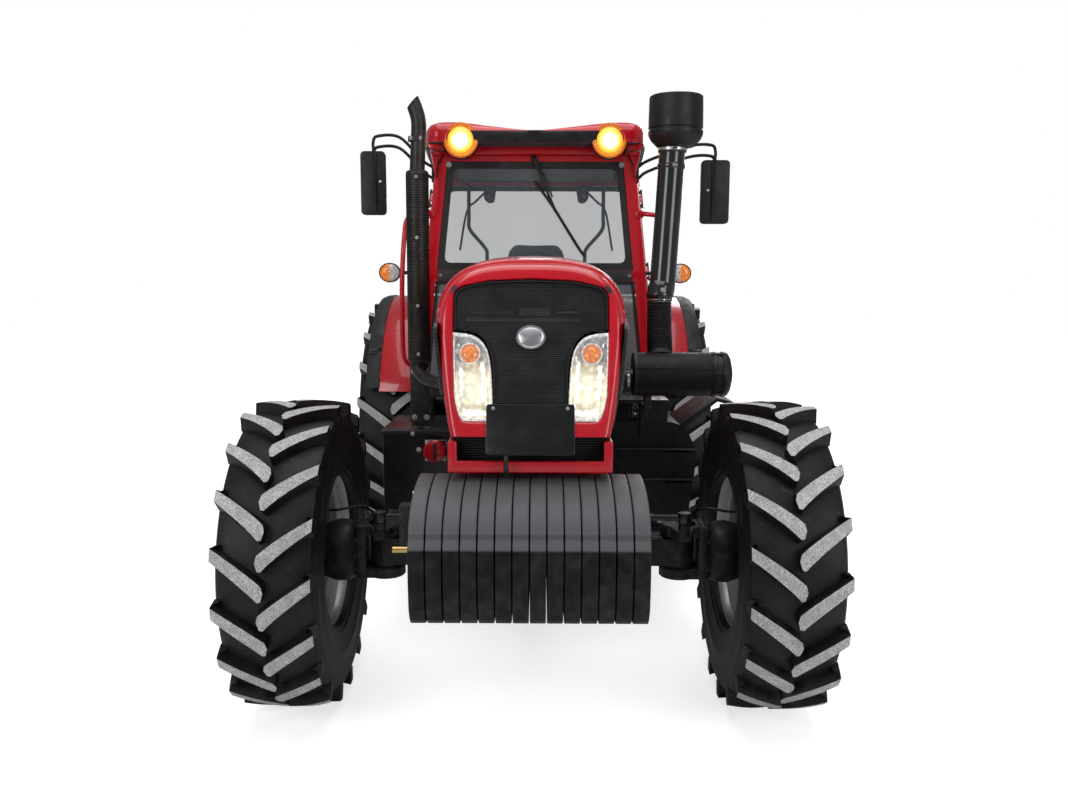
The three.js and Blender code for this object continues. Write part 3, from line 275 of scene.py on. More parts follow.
RED = finish_of("red_enamel", (0.5, 0.0022, 0.012), 0.27, drift=0.07, patch=2.0, grain=700.0,
                bump=0.00006, coat=0.6, dust=0.08, dust_top=1.5, specular=0.3)
BLACK = finish_of("black_enamel", (0.006, 0.006, 0.0068), 0.34, drift=0.25, grain=500.0, bump=0.0001,
                  coat=0.1, dust=0.18, wear=0.25, wear_colour=(0.06, 0.06, 0.062), specular=0.34)
CHASSIS = finish_of("chassis_black", (0.005, 0.005, 0.0055), 0.52, drift=0.3, grain=260.0, bump=0.0005,
                    dust=0.25, wear=0.3, wear_colour=(0.07, 0.068, 0.065), specular=0.28)
PLASTIC = finish_of("moulded_black", (0.0075, 0.0075, 0.0083), 0.46, drift=0.2, grain=900.0, bump=0.00012,
                    dust=0.12, dust_top=1.6, specular=0.32)
STEEL = finish_of("bright_steel", (0.55, 0.55, 0.56), 0.3, metal=1.0, drift=0.12, grain=400.0, bump=0.0001)
BRASS = finish_of("plated_bolt", (0.62, 0.42, 0.16), 0.34, metal=1.0, drift=0.2, grain=400.0, bump=0.0001)
RIM = finish_of("rim_silver", (0.52, 0.53, 0.54), 0.36, metal=0.4, drift=0.06, patch=3.0, grain=450.0,
                bump=0.00012, dust=0.16, dust_top=1.5)
ROOF_RED = finish_of("roof_red", (0.46, 0.003, 0.012), 0.55, drift=0.1, patch=2.5, grain=500.0, bump=0.0001,
                     dust=0.14, dust_top=3.2, specular=0.16)
RUBBER_TRIM = finish_of("rubber_trim", (0.009, 0.009, 0.009), 0.62, drift=0.2, grain=500.0, bump=0.0002)
print("finishes", len(bpy.data.materials))

# %% [markdown]
# ## Making meshes
# Most pieces are lathed, swept or extruded from a few numbers. Copies of CAD solids are merged
# first, because a CAD mesh is loose triangles.

# %% Mesh helpers
def piece(name, mesh_or_bm, material, body, angle=35, replaced=()):
    """A finished object: shaded smooth below an angle, painted, and riding on its body."""
    if isinstance(mesh_or_bm, bmesh.types.BMesh):
        mesh = bpy.data.meshes.new(name)
        mesh_or_bm.to_mesh(mesh)
        mesh_or_bm.free()
    else:
        mesh = mesh_or_bm
    made = bpy.data.objects.new(name, mesh)
    bpy.context.scene.collection.objects.link(made)
    for paint in material if isinstance(material, (list, tuple)) else [material]:
        if paint is not None:
            mesh.materials.append(paint)
    if angle:
        mesh.shade_smooth()
        mesh.set_sharp_from_angle(angle=math.radians(angle))
    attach(made, body)
    if replaced:
        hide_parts(*replaced)
    return made


def add_faces(bm, points, faces, index=0):
    made = [bm.verts.new(p) for p in points]
    for face in faces:
        bm.faces.new([made[i] for i in face]).material_index = index
    return made


def bridge(bm, rings, index=0):
    """Quads between neighbouring rings of equally many corners; returns the new faces."""
    made = []
    for a, b in zip(rings, rings[1:]):
        for i in range(len(a)):
            j = (i + 1) % len(a)
            made.append(bm.faces.new([a[i], a[j], b[j], b[i]]))
            made[-1].material_index = index
    return made


def lathe(bm, axis, centre, profile, segments=48, index=0, closed=False):
    """Turns (radius, along) stations about an axis through centre, all in millimetres."""
    turn = {"x": lambda r, a, t: (a, r * math.cos(t), r * math.sin(t)),
            "y": lambda r, a, t: (r * math.sin(t), a, r * math.cos(t)),
            "z": lambda r, a, t: (r * math.cos(t), r * math.sin(t), a)}[axis]
    rings = []
    for radius, along in profile:
        if radius < 1e-6:
            rings.append([bm.verts.new(spot(*[c + d for c, d in zip(centre, turn(0, along, 0))]))])
            continue
        ring = []
        for i in range(segments):
            offset = turn(radius, along, 2 * math.pi * i / segments)
            ring.append(bm.verts.new(spot(*[c + d for c, d in zip(centre, offset)])))
        rings.append(ring)
    pairs = list(zip(rings, rings[1:])) + ([(rings[-1], rings[0])] if closed else [])
    made = []
    for a, b in pairs:
        for i in range(segments):
            j = (i + 1) % segments
            loop = [a[i % len(a)], a[j % len(a)], b[j % len(b)], b[i % len(b)]]
            loop = [v for n, v in enumerate(loop) if v not in loop[:n]]
            if len(loop) > 2:
                made.append(bm.faces.new(loop))
    for face in made:
        face.material_index = index
    bmesh.ops.recalc_face_normals(bm, faces=made)
    return made


def smooth_path(points, steps):
    """Points of a smooth curve through the given ones."""
    places = [Vector(p) for p in points]
    ends = [places[0] * 2 - places[1]] + places + [places[-1] * 2 - places[-2]]
    out = []
    for a, b, c, d in zip(ends, ends[1:], ends[2:], ends[3:]):
        for k in range(steps):
            t = k / steps
            out.append(0.5 * (2 * b + (c - a) * t + (2 * a - 5 * b + 4 * c - d) * t * t
                              + (3 * b - a - 3 * c + d) * t ** 3))
    return out + [places[-1]]


def sweep(bm, points, radius, sides=12, steps=8, index=0, ridge=None):
    """A round bar or hose along a smooth path; ridge(n) may change the radius along it."""
    path = smooth_path(points, steps) if steps > 1 else [Vector(p) for p in points]
    heading = (path[1] - path[0]).normalized()
    normal = heading.orthogonal().normalized()
    rings = []
    for n, place in enumerate(path):
        ahead = (path[min(n + 1, len(path) - 1)] - path[max(n - 1, 0)]).normalized()
        normal = (normal - ahead * normal.dot(ahead)).normalized()
        side = ahead.cross(normal)
        size = radius * (ridge(n) if ridge else 1)
        rings.append([bm.verts.new(spot(*(place + size * (
            math.cos(2 * math.pi * i / sides) * normal + math.sin(2 * math.pi * i / sides) * side))))
            for i in range(sides)])
    made = [bm.faces.new(rings[0][::-1]), bm.faces.new(rings[-1])] + bridge(bm, rings)
    for face in made:
        face.material_index = index
    return made


def slab(bm, axis, outline, start, end, bevel=0.0, index=0, segments=2):
    """An outline in millimetres extruded along an axis, with rounded edges if bevel is given."""
    order = {"x": lambda u, v, w: (w, u, v), "y": lambda u, v, w: (u, w, v), "z": lambda u, v, w: (u, v, w)}[axis]
    low = [bm.verts.new(spot(*order(u, v, start))) for u, v in outline]
    high = [bm.verts.new(spot(*order(u, v, end))) for u, v in outline]
    made = [bm.faces.new(low[::-1]), bm.faces.new(high)] + bridge(bm, [low, high])
    bmesh.ops.recalc_face_normals(bm, faces=made)
    if bevel:
        edges = list({edge for face in made for edge in face.edges})
        result = bmesh.ops.bevel(bm, geom=edges, offset=bevel * MM, segments=segments, profile=0.5,
                                 affect="EDGES", clamp_overlap=True)
        made = [f for f in made if f.is_valid] + result["faces"]
    for face in made:
        face.material_index = index
    return made


def block(bm, x0, x1, y0, y1, z0, z1, bevel=2.0, index=0):
    """A rounded block between two corners, in millimetres."""
    return slab(bm, "z", [(x0, y0), (x1, y0), (x1, y1), (x0, y1)], z0, z1, bevel, index)


def about_origin(bm):
    """A part drawn round the front axle's centre, moved there to the origin for a tree or a lean."""
    for vert in bm.verts:
        vert.co.y -= FRONT_AXLE_Y
    return bm


def mirrored_pair(make):
    """Calls a maker for the tractor's left and right side."""
    return [make(word, side) for word, side in (("left", 1), ("right", -1))]


print("mesh helpers ready")

# %% [markdown]
# A CAD solid with the right shape only lacks the small radius that every real casting, pressing
# and moulding has. `softened` copies the solid, merges its loose triangles, dissolves flat ones
# and bevels what is left, so the edges catch the light.

# %% Rounded copies of CAD solids
def applied(mesh, *modifiers):
    """The mesh after some modifiers, given as (kind, settings), as a plain new mesh."""
    holder = bpy.data.objects.new("holder", mesh)
    bpy.context.scene.collection.objects.link(holder)
    for kind, settings in modifiers:
        modifier = holder.modifiers.new(kind.lower(), kind)
        for key, value in settings.items():
            setattr(modifier, key, value)
    graph = bpy.context.evaluated_depsgraph_get()
    graph.update()
    result = bpy.data.meshes.new_from_object(holder.evaluated_get(graph))
    bpy.data.objects.remove(holder)
    return result


def cad_copy(node):
    """A merged copy of a CAD solid as a bmesh, with flat triangles joined."""
    bm = bmesh.new()
    bm.from_mesh(frame["nodes"][node].data)
    bmesh.ops.remove_doubles(bm, verts=bm.verts, dist=1e-5)
    bmesh.ops.dissolve_limit(bm, angle_limit=math.radians(1.0), verts=bm.verts, edges=bm.edges)
    return bm


def softened(node, material, radius=3.0, segments=2, choose=None, name=None):
    """Replaces a CAD solid by its rounded copy; choose(centre, normal) picks a material index."""
    bm = cad_copy(node)
    if choose:
        for face in bm.faces:
            face.material_index = choose(face.calc_center_median(), face.normal)
    mesh = bpy.data.meshes.new(node)
    bm.to_mesh(mesh)
    bm.free()
    rounded = applied(mesh, ("BEVEL", dict(width=radius * MM, segments=segments, limit_method="ANGLE",
                                           angle_limit=math.radians(34), harden_normals=False)))
    return piece(name or "soft_" + node, rounded, material, node_body[node], 40, (node,))


print("softening ready")

# %% [markdown]
# ## Geometry Nodes for what repeats
# Tread lugs, wheel bolts, ballast plates, slats and perforations are one small shape repeated by
# a rule. Two trees cover nearly all of it: a ring turns a part about an axis, and a grid steps it
# along two directions. Both end in Realize Instances and Set Material.

# %% Ring and grid trees
def new_tree(name, labels):
    """A tree with named inputs; returns the tree and each input's identifier."""
    tree = bpy.data.node_groups.new(name, "GeometryNodeTree")
    tree.interface.new_socket("Geometry", in_out="INPUT", socket_type="NodeSocketGeometry")
    keys = {}
    for label, kind in labels:
        keys[label] = tree.interface.new_socket(label, in_out="INPUT", socket_type="NodeSocket" + kind).identifier
    tree.interface.new_socket("Geometry", in_out="OUTPUT", socket_type="NodeSocketGeometry")
    return tree, keys, tree.nodes.new("NodeGroupInput"), tree.nodes.new("NodeGroupOutput")


def tree_math(tree, operation, a, b, vector=False):
    kind = "ShaderNodeVectorMath" if vector else "ShaderNodeMath"
    second = "Scale" if operation == "SCALE" else 1
    return add_node(tree, kind, {0: a, second: b}, operation=operation).outputs[0]


def close_tree(tree, given, points, out, rotation=None):
    """Instances the part on points, realises them, paints them and ends the tree."""
    part = add_node(tree, "GeometryNodeObjectInfo", {"Object": given.outputs["Part"]})
    copies = add_node(tree, "GeometryNodeInstanceOnPoints", {
        "Points": points, "Instance": part.outputs["Geometry"]})
    if rotation is not None:
        tree.links.new(rotation, copies.inputs["Rotation"])
    real = add_node(tree, "GeometryNodeRealizeInstances", {0: copies.outputs[0]})
    paint = add_node(tree, "GeometryNodeSetMaterial", {
        "Geometry": real.outputs[0], "Material": given.outputs["Material"]})
    tree.links.new(paint.outputs[0], out.inputs[0])


RING, RING_KEYS, given, out = new_tree("ring_of_parts", [
    ("Part", "Object"), ("Count", "Int"), ("Centre", "Vector"), ("Axis", "Vector"), ("Start", "Float"),
    ("Material", "Material")])
ring_points = add_node(RING, "GeometryNodePoints", {
    "Count": given.outputs["Count"], "Position": given.outputs["Centre"]})
ring_index = RING.nodes.new("GeometryNodeInputIndex").outputs[0]
ring_step = tree_math(RING, "DIVIDE", 2 * math.pi, given.outputs["Count"])
ring_angle = tree_math(RING, "ADD", tree_math(RING, "MULTIPLY", ring_index, ring_step), given.outputs["Start"])
ring_turn = tree_math(RING, "SCALE", given.outputs["Axis"], ring_angle, vector=True)
close_tree(RING, given, ring_points.outputs[0], out, ring_turn)

GRID, GRID_KEYS, given, out = new_tree("grid_of_parts", [
    ("Part", "Object"), ("Count", "Int"), ("Per Row", "Int"), ("Start", "Vector"), ("Step", "Vector"),
    ("Row Step", "Vector"), ("Turn", "Vector"), ("Material", "Material")])
grid_index = GRID.nodes.new("GeometryNodeInputIndex").outputs[0]
grid_column = tree_math(GRID, "FLOORED_MODULO", grid_index, given.outputs["Per Row"])
grid_row = tree_math(GRID, "FLOOR", tree_math(GRID, "DIVIDE", grid_index, given.outputs["Per Row"]), 0.0)
grid_place = tree_math(GRID, "ADD", given.outputs["Start"], tree_math(
    GRID, "ADD", tree_math(GRID, "SCALE", given.outputs["Step"], grid_column, vector=True),
    tree_math(GRID, "SCALE", given.outputs["Row Step"], grid_row, vector=True), vector=True), vector=True)
grid_points = add_node(GRID, "GeometryNodePoints", {"Count": given.outputs["Count"], "Position": grid_place})
grid_turn = tree_math(GRID, "SCALE", given.outputs["Turn"], grid_column, vector=True)
close_tree(GRID, given, grid_points.outputs[0], out, grid_turn)


def grown(tree, keys, part, material, **values):
    """Runs a tree on an empty mesh and returns the plain mesh it makes. part is a bmesh."""
    part_mesh = bpy.data.meshes.new("part")
    part.to_mesh(part_mesh)
    part.free()
    part_object = bpy.data.objects.new("part", part_mesh)
    bpy.context.scene.collection.objects.link(part_object)
    holder = bpy.data.objects.new("holder", bpy.data.meshes.new("holder"))
    bpy.context.scene.collection.objects.link(holder)
    modifier = holder.modifiers.new("nodes", "NODES")
    modifier.node_group = tree
    modifier[keys["Part"]] = part_object
    modifier[keys["Material"]] = material
    for label, value in values.items():
        modifier[keys[label.replace("_", " ")]] = value
    holder.update_tag()
    graph = bpy.context.evaluated_depsgraph_get()
    graph.update()
    result = bpy.data.meshes.new_from_object(holder.evaluated_get(graph))
    bpy.data.objects.remove(holder)
    bpy.data.objects.remove(part_object)
    return result


def ring_of(part, material, count, centre, axis=(1, 0, 0), start=0.0):
    """Copies of a part, modelled about the origin in metres, turned about an axis through centre."""
    return grown(RING, RING_KEYS, part, material, Count=count, Centre=spot(*centre), Axis=axis, Start=start)


def grid_of(part, material, count, start, step, per_row=None, row_step=(0, 0, 0), turn=(0, 0, 0)):
    """Copies of a part, modelled about the origin in metres, stepped along a row and from row to row."""
    return grown(GRID, GRID_KEYS, part, material, Count=count, Per_Row=per_row or count, Start=spot(*start),
                 Step=Vector(step) * MM, Row_Step=Vector(row_step) * MM, Turn=turn)


def joined(name, meshes, body, angle=35, replaced=()):
    """Several meshes with their own materials as one piece."""
    bm = bmesh.new()
    paints = []
    for mesh in meshes:
        before = len(bm.faces)
        bm.from_mesh(mesh)
        bm.faces.ensure_lookup_table()
        own = list(mesh.materials)
        for face in bm.faces[before:]:
            paint = own[min(face.material_index, len(own) - 1)] if own else None
            if paint not in paints:
                paints.append(paint)
            face.material_index = paints.index(paint)
    return piece(name, bm, paints, body, angle, replaced)


def as_mesh(bm, *materials):
    """A bmesh as a plain mesh that carries its materials."""
    mesh = bpy.data.meshes.new("mesh")
    bm.to_mesh(mesh)
    bm.free()
    for material in materials:
        mesh.materials.append(material)
    return mesh


def bolt_shape(radius, height, axis="y", sides=6, washer=True):
    """A hexagon head on its washer about the origin, in metres, its top toward the axis."""
    bm = bmesh.new()
    turn = {"x": Matrix.Rotation(math.pi / 2, 3, "Y"), "-x": Matrix.Rotation(-math.pi / 2, 3, "Y"),
            "y": Matrix.Rotation(-math.pi / 2, 3, "X"), "-y": Matrix.Rotation(math.pi / 2, 3, "X"),
            "z": Matrix.Identity(3)}[axis]

    def disc(r, z0, z1, count, lip):
        levels = [(r, z0), (r, z1 - lip), (r - lip, z1)]
        rings = [[bm.verts.new(turn @ Vector((a * math.cos(2 * math.pi * i / count) * MM,
                                              a * math.sin(2 * math.pi * i / count) * MM, z * MM)))
                  for i in range(count)] for a, z in levels]
        bm.faces.new(rings[0][::-1])
        bm.faces.new(rings[-1])
        bridge(bm, rings)

    if washer:
        disc(radius * 1.5, -1.0, height * 0.25, 14, 0.4)
    disc(radius, height * 0.2, height, sides, height * 0.14)
    return bm


def bolts(material, places, radius=9, height=8, axis="-y"):
    """Bolts at several places, as one mesh each."""
    return [grid_of(bolt_shape(radius, height, axis), material, 1, place, (0, 0, 0)) for place in places]


print("trees", [tree.name for tree in bpy.data.node_groups])

# %% [markdown]
# ## Tyres
# A driven farm wheel wears a bar-lug tyre. The casing is lathed from its section: a shallow crown,
# a rounded shoulder, a bulging sidewall with moulded rings, and the bead. Each lug is one small
# solid that runs from just past the middle to the shoulder at about 45 degrees and down the
# sidewall. A ring tree repeats it, and the other half is the mirrored lug, half a pitch later.
# The lug tops carry an attribute, because they alone are scuffed pale by the road.

# %% Rubber
RUBBER, rubber_tree, rubber_shader = shader_of("tyre_rubber")
rubber_patch = ramp(rubber_tree, noise(rubber_tree, 9.0, 5.0), 0.35, 0.7)
rubber_side = blend_colour(rubber_tree, rubber_patch, (0.0045, 0.0043, 0.0048, 1), (0.012, 0.011, 0.0105, 1))
scuff_mask = ramp(rubber_tree, noise(rubber_tree, 31.0, 7.0), 0.60, 0.72, 0.0, 0.16)
rubber_side = blend_colour(rubber_tree, scuff_mask, rubber_side, (0.10, 0.095, 0.09, 1))
speckle = ramp(rubber_tree, noise(rubber_tree, 190.0, 6.0), 0.40, 0.56)
patchy = ramp(rubber_tree, noise(rubber_tree, 27.0, 5.0), 0.36, 0.6)
speckle = maths(rubber_tree, "MULTIPLY", speckle, maths(rubber_tree, "ADD",
        maths(rubber_tree, "MULTIPLY", patchy, 0.45), 0.55))
rubber_top = blend_colour(rubber_tree, speckle, (0.27, 0.27, 0.265, 1), (0.55, 0.555, 0.54, 1))
tread_attribute = rubber_tree.nodes.new("ShaderNodeAttribute")
tread_attribute.attribute_name = "tread_top"
tread_on = ramp(rubber_tree, tread_attribute.outputs["Fac"], 0.35, 0.65)
wire(rubber_tree, blend_colour(rubber_tree, tread_on, rubber_side, rubber_top), rubber_shader.inputs["Base Color"])
wire(rubber_tree, ramp(rubber_tree, tread_on, 0.0, 1.0, 0.5, 0.85), rubber_shader.inputs["Roughness"])
rubber_shader.inputs["Specular IOR Level"].default_value = 0.3
relief(rubber_tree, rubber_shader, noise(rubber_tree, 130.0, 5.0), 0.0012, 0.5)
print("rubber nodes", len(rubber_tree.nodes))


# %% Casing and lugs
def casing_profile(radius, width, rim, flange):
    """Half section of a tyre as (radius, x) from the middle of the tread to the bead."""
    half = width / 2
    tread = radius - 44
    depth = tread - rim
    return [
        (tread, 0), (tread - 1, half * 0.3), (tread - 5, half * 0.6), (tread - 12, half * 0.82),
        (tread - 24, half * 0.93), (tread - 44, half * 0.985), (tread - 70, half * 0.985),
        (tread - 78, half * 1.0), (tread - 84, half * 0.99), (tread - depth * 0.42, half * 1.0),
        (tread - depth * 0.55, half * 0.99), (tread - depth * 0.57, half * 0.999),
        (tread - depth * 0.60, half * 0.999),
        (tread - depth * 0.62, half * 0.985), (tread - depth * 0.76, half * 0.95), (rim + 34, flange + 9),
        (rim + 26, flange + 8), (rim + 22, flange + 3), (rim + 6, flange - 2), (rim - 2, flange - 14),
        (rim - 4, flange - 40),
    ]


def casing(bm, centre, radius, width, rim, flange, segments=120):
    half = casing_profile(radius, width, rim, flange)
    whole = half + [(rim + 20, flange - 60), (rim + 20, 60 - flange)] + [(r, -x) for r, x in reversed(half[1:])]
    lathe(bm, "x", centre, whole, segments, closed=True)


def lug(radius, width, side, rise):
    """One tread bar about the wheel centre, in metres, its nose at angle 0 seen from the nose."""
    half = width / 2
    bm = bmesh.new()
    top_mark = bm.faces.layers.float.new("tread_top")
    crown = lambda x: radius - 14 * (abs(x) / half) ** 2.4
    stations = []
    for t in (0.0, 0.05, 0.16, 0.34, 0.52, 0.7, 0.86, 1.0):
        x = -0.055 * half + t * (1.0 * half + 0.055 * half - 3)
        bend = rise * (t ** 0.86)
        stations.append((x, bend, crown(x), 33 - 7 * t if t > 0.03 else 17))
    rings = []
    for n, (x, along, top, wide) in enumerate(stations):
        angle, t_share = along / radius, n / 7
        ring = []
        for lift, spread in ((-60, 1.45), (-34, 1.18), (-3, 1.0), (0, 0.94), (0, -0.94), (-3, -1.0), (-34, -1.18),
                             (-60, -1.45)):
            slant = 0.3 * spread * wide * (1 - t_share)
            t = angle + spread * wide / radius
            r = top + lift
            ring.append(bm.verts.new((side * (x - slant) * MM, -r * math.cos(t) * MM, r * math.sin(t) * MM)))
        rings.append(ring)
    x, along, top, wide = stations[-1]
    for drop, out in ((26, 1.5), (66, 2.4), (92, -6)):
        angle = (along + drop * 0.10) / radius
        ring = []
        for lift, spread in ((-70, 1.4), (-34, 1.15), (-3, 1.0), (0, 0.94), (0, -0.94), (-3, -1.0), (-34, -1.15),
                             (-70, -1.4)):
            t = angle + spread * wide / radius
            inward = 0 if lift > -10 else (12 if lift > -50 else 30)
            r = top - drop
            ring.append(bm.verts.new((side * (x + out - inward) * MM, -r * math.cos(t) * MM, r * math.sin(t) * MM)))
        rings.append(ring)
    count = len(rings[0])
    for n, (a, b) in enumerate(zip(rings, rings[1:])):
        for i in range(count):
            face = bm.faces.new([a[i], a[(i + 1) % count], b[(i + 1) % count], b[i]])
            if i == 3 and n < len(stations) - 1:
                face[top_mark] = 1.0
    bm.faces.new(rings[0])
    bm.faces.new(rings[-1])
    bmesh.ops.recalc_face_normals(bm, faces=bm.faces)
    return bm


def tyre(node, centre, radius, width, rim, flange, count, rise, start):
    """Casing and two rings of lugs as one piece that replaces the CAD tyre."""
    shell = bmesh.new()
    casing(shell, centre, radius, width, rim, flange)
    pitch = 2 * math.pi / count
    sets = [as_mesh(shell, RUBBER)]
    for hand, shift in ((1, 0.0), (-1, 0.5)):
        sets.append(ring_of(lug(radius, width, hand, rise), RUBBER, count, centre, start=start + shift * pitch))
    made = joined("tread_" + node, sets, node_body[node], 32, (node,))
    print(made.name, "faces", len(made.data.polygons))
    return made


FRONT_TYRE = dict(radius=659, width=385, rim=330, flange=170, count=18, rise=160)
REAR_TYRE = dict(radius=844, width=470, rim=480, flange=205, count=21, rise=195)
FRONT_X, REAR_X = 1010, 895
for word, side in (("left", 1), ("right", -1)):
    tyre(f"front_{word}_tyre", (side * FRONT_X, 0, FRONT_AXLE_Z), start=0.15 if side > 0 else 0.171, **FRONT_TYRE)
    tyre(f"rear_{word}_tyre", (side * REAR_X, WHEELBASE, REAR_AXLE_Z), start=0.1, **REAR_TYRE)

# %% [markdown]
# ## Rims, hubs and wheel bolts
# The rim is a rolled steel ring with a drop centre, and the disc is a dished pressing bolted to
# the hub. Both are lathed at a fine step. Hand holes and studs repeat round the axis, so the ring
# tree places them: hexagon nuts for the studs, and for the holes closed dark dished cups, whose
# black is painted shade where an open hole would show the wheel's shaded inside.

# %% Rims
def rim_section(rim, half, disc, hub):
    """The whole section of a rim and its disc as (radius, x toward the outside)."""
    inner = rim - 9
    return [
        (0, disc + 62), (hub * 0.5, disc + 60), (hub * 0.62, disc + 52), (hub * 0.68, disc + 20),
        (hub * 0.8, disc + 16),
        (rim * 0.44, disc + 16), (rim * 0.47, disc + 27), (rim * 0.62, disc + 30), (rim * 0.66, disc + 18),
        (rim * 0.68, disc + 17), (rim * 0.84, disc + 17), (rim * 0.86, disc + 20), (rim * 0.89, disc + 42),
        (inner - 12, disc + 44),
        (inner - 3, disc + 46), (inner, disc + 60), (inner, half - 34), (inner + 10, half - 24),
        (rim + 14, half - 8),
        (rim + 24, half - 2), (rim + 27, half - 4), (rim + 26, half - 10), (rim + 12, half - 16), (rim, half - 26),
        (rim - 3, half - 60), (rim - 3, 60 - half), (rim, 26 - half), (rim + 12, 16 - half), (rim + 26, 10 - half),
        (rim + 27, 4 - half), (rim + 24, 2 - half), (rim + 14, 8 - half), (inner + 10, 24 - half),
        (inner, 34 - half), (inner - 7, 64 - half), (inner - 26, 78 - half), (inner - 28, 112 - half),
        (inner - 12, 132 - half), (inner - 8, disc - 6), (inner - 14, disc + 20), (rim * 0.86, disc + 5),
        (rim * 0.74, disc + 3),
        (rim * 0.66, disc - 4), (hub, disc),
    ]


def wheel_disc(word, side, end, centre, rim, half, disc, hub, depth, studs):
    node = f"{end}_{word}_rim"
    bm = bmesh.new()
    section = [(r, side * x) for r, x in rim_section(rim, half, disc, hub)]
    lathe(bm, "x", centre, section, 96)
    shell = as_mesh(bm, RIM)
    cap = bmesh.new()
    hub_profile = [(hub, disc + 1), (hub + 4, disc - 6), (hub, disc - 14), (hub * 0.96, disc - depth),
                   (0, disc - depth)]
    lathe(cap, "x", centre, [(r, side * x) for r, x in hub_profile], 64)
    lathe(cap, "x", centre, [(r, side * x) for r, x in (
        (hub * 0.48, disc + 58), (hub * 0.47, disc + 84), (hub * 0.4, disc + 94), (hub * 0.36, disc + 94),
        (hub * 0.34, disc + 90), (0, disc + 90))], 48)
    made = [shell, as_mesh(cap, CHASSIS)]
    stud = bolt_shape(14, 24, "x" if side > 0 else "-x")
    bmesh.ops.translate(stud, verts=stud.verts, vec=Vector((side * (disc + 28), 0, rim * 0.54)) * MM)
    made.append(ring_of(stud, CHASSIS, studs, centre))
    inside = bolt_shape(12, 16, "-x" if side > 0 else "x")
    bmesh.ops.translate(inside, verts=inside.verts, vec=Vector((side * (disc - 3), 0, rim * 0.6)) * MM)
    made.append(ring_of(inside, CHASSIS, studs, centre))
    # Each hand hole is a closed cup in black chassis paint: painted shade in place of an open hole.
    hole = bmesh.new()
    rings = []
    for r, x in ((rim * 0.072, 16.5), (rim * 0.068, 19.5), (rim * 0.062, 17.6), (0, 17.4)):
        rings.append([hole.verts.new(Vector((side * (disc + x), r * math.sin(a),
                rim * 0.76 + r * math.cos(a))) * MM)
                      for a in [2 * math.pi * i / 24 for i in range(24 if r else 1)]])
    for a, b in zip(rings, rings[1:]):
        for i in range(24):
            loop = [a[i], a[(i + 1) % 24], b[(i + 1) % len(b)], b[i % len(b)]]
            hole.faces.new([v for n, v in enumerate(loop) if v not in loop[:n]])
    bmesh.ops.recalc_face_normals(hole, faces=hole.faces)
    made.append(ring_of(hole, CHASSIS, 8, centre, start=0.2))
    return joined(f"wheel_{end}_{word}", made, node_body[node], 35, (node,))


for word, side in (("left", 1), ("right", -1)):
    wheel_disc(word, side, "front", (side * FRONT_X, 0, FRONT_AXLE_Z), 330, 170, 60, 130, 75, 10)
    wheel_disc(word, side, "rear", (side * REAR_X, WHEELBASE, REAR_AXLE_Z), 480, 205, 20, 150, 200, 10)
print("rims done")

# %% [markdown]
# ## Hood
# The hood is one pressing: an arch that is widest at lamp height, rolled over at the front into a
# frame round the grille. It is lofted from arches at several stations. Near the face a few
# arches lie close together and shrink, which rolls the edge over. Inside the frame a return
# flange goes back past the grille, so the opening has depth. The inner skin wears a matt black
# liner, which shows when the hood is lifted.

# %% Hood shape
HOOD_FACE_Y, HOOD_BOTTOM, FACE_SLOPE, HOOD_BACK = -945, 1312, 0.32, 1429


def face_y(z):
    return HOOD_FACE_Y + (z - HOOD_BOTTOM) * FACE_SLOPE


HOOD_STATIONS = [  # y, half width at the bottom, at the side, bottom height, side height, top height
    (-860, 268, 316, 1312, 1650, 1892), (-640, 300, 338, 1312, 1650, 1912), (-300, 338, 366, 1332, 1640, 1928),
    (300, 378, 392, 1408, 1630, 1940), (1440, 405, 410, 1420, 1630, 1950),
]


def hood_at(y):
    """Arch sizes at a depth, eased between the stations."""
    y = max(y, HOOD_STATIONS[0][0])
    for a, b in zip(HOOD_STATIONS, HOOD_STATIONS[1:]):
        if y <= b[0]:
            t = (y - a[0]) / (b[0] - a[0])
            return [p + (q - p) * t for p, q in zip(a[1:], b[1:])]
    return list(HOOD_STATIONS[-1][1:])


def arch(y, shrink=0.0, count=48):
    """The arch from the right foot over the top to the left foot, as (x, z)."""
    bottom, side, bottom_z, side_z, top_z = hood_at(y)
    half, round_share = [], 0.65 + 0.12 * max(0.0, min(1.0, (y + 860) / 900))
    for i in range(13):
        t = i / 12
        bulge = 7 * math.sin(math.pi * t) * (1 - 0.3 * t)
        half.append((bottom + (side - bottom) * t ** 0.85 + bulge * 0.5, bottom_z + (side_z - bottom_z) * t))
    for i in range(1, count // 2 + 1):
        t = math.pi / 2 * (i / (count // 2)) ** 1.1
        half.append((side * math.cos(t) ** round_share if i < count // 2 else 0.0,
                     side_z + (top_z - side_z) * math.sin(t) ** round_share))
    whole = [(-x, z) for x, z in half] + [(x, z) for x, z in half[-2::-1]]
    if not shrink:
        return whole
    out = []
    for i, (x, z) in enumerate(whole):
        before, after = whole[max(i - 1, 0)], whole[min(i + 1, len(whole) - 1)]
        dx, dz = after[0] - before[0], after[1] - before[1]
        size = math.hypot(dx, dz) or 1
        out.append((x + shrink * dz / size, z - shrink * dx / size))
    return out


def hood_side_x(y, z):
    """Half width of the hood at a depth and height, for what lies on its flank."""
    points = [p for p in arch(y) if p[0] >= 0]
    for (xa, za), (xb, zb) in zip(points, points[1:]):
        if min(za, zb) <= z <= max(za, zb) and za != zb:
            return xa + (xb - xa) * (z - za) / (zb - za)
    return points[-1][0]


print("hood half width at the lamps", round(hood_side_x(-700, 1600)))

# %% Hood shell
OPENING = [(0, 1839.5), (150, 1832.4), (235, 1814.3), (258, 1800), (264.5, 1780), (264.5, 1668), (260, 1560),
           (256.4, 1445), (247, 1405), (226.4, 1367.5), (0, 1367.5)]
GRILLE_CENTRE = (0.0, 1600.0)


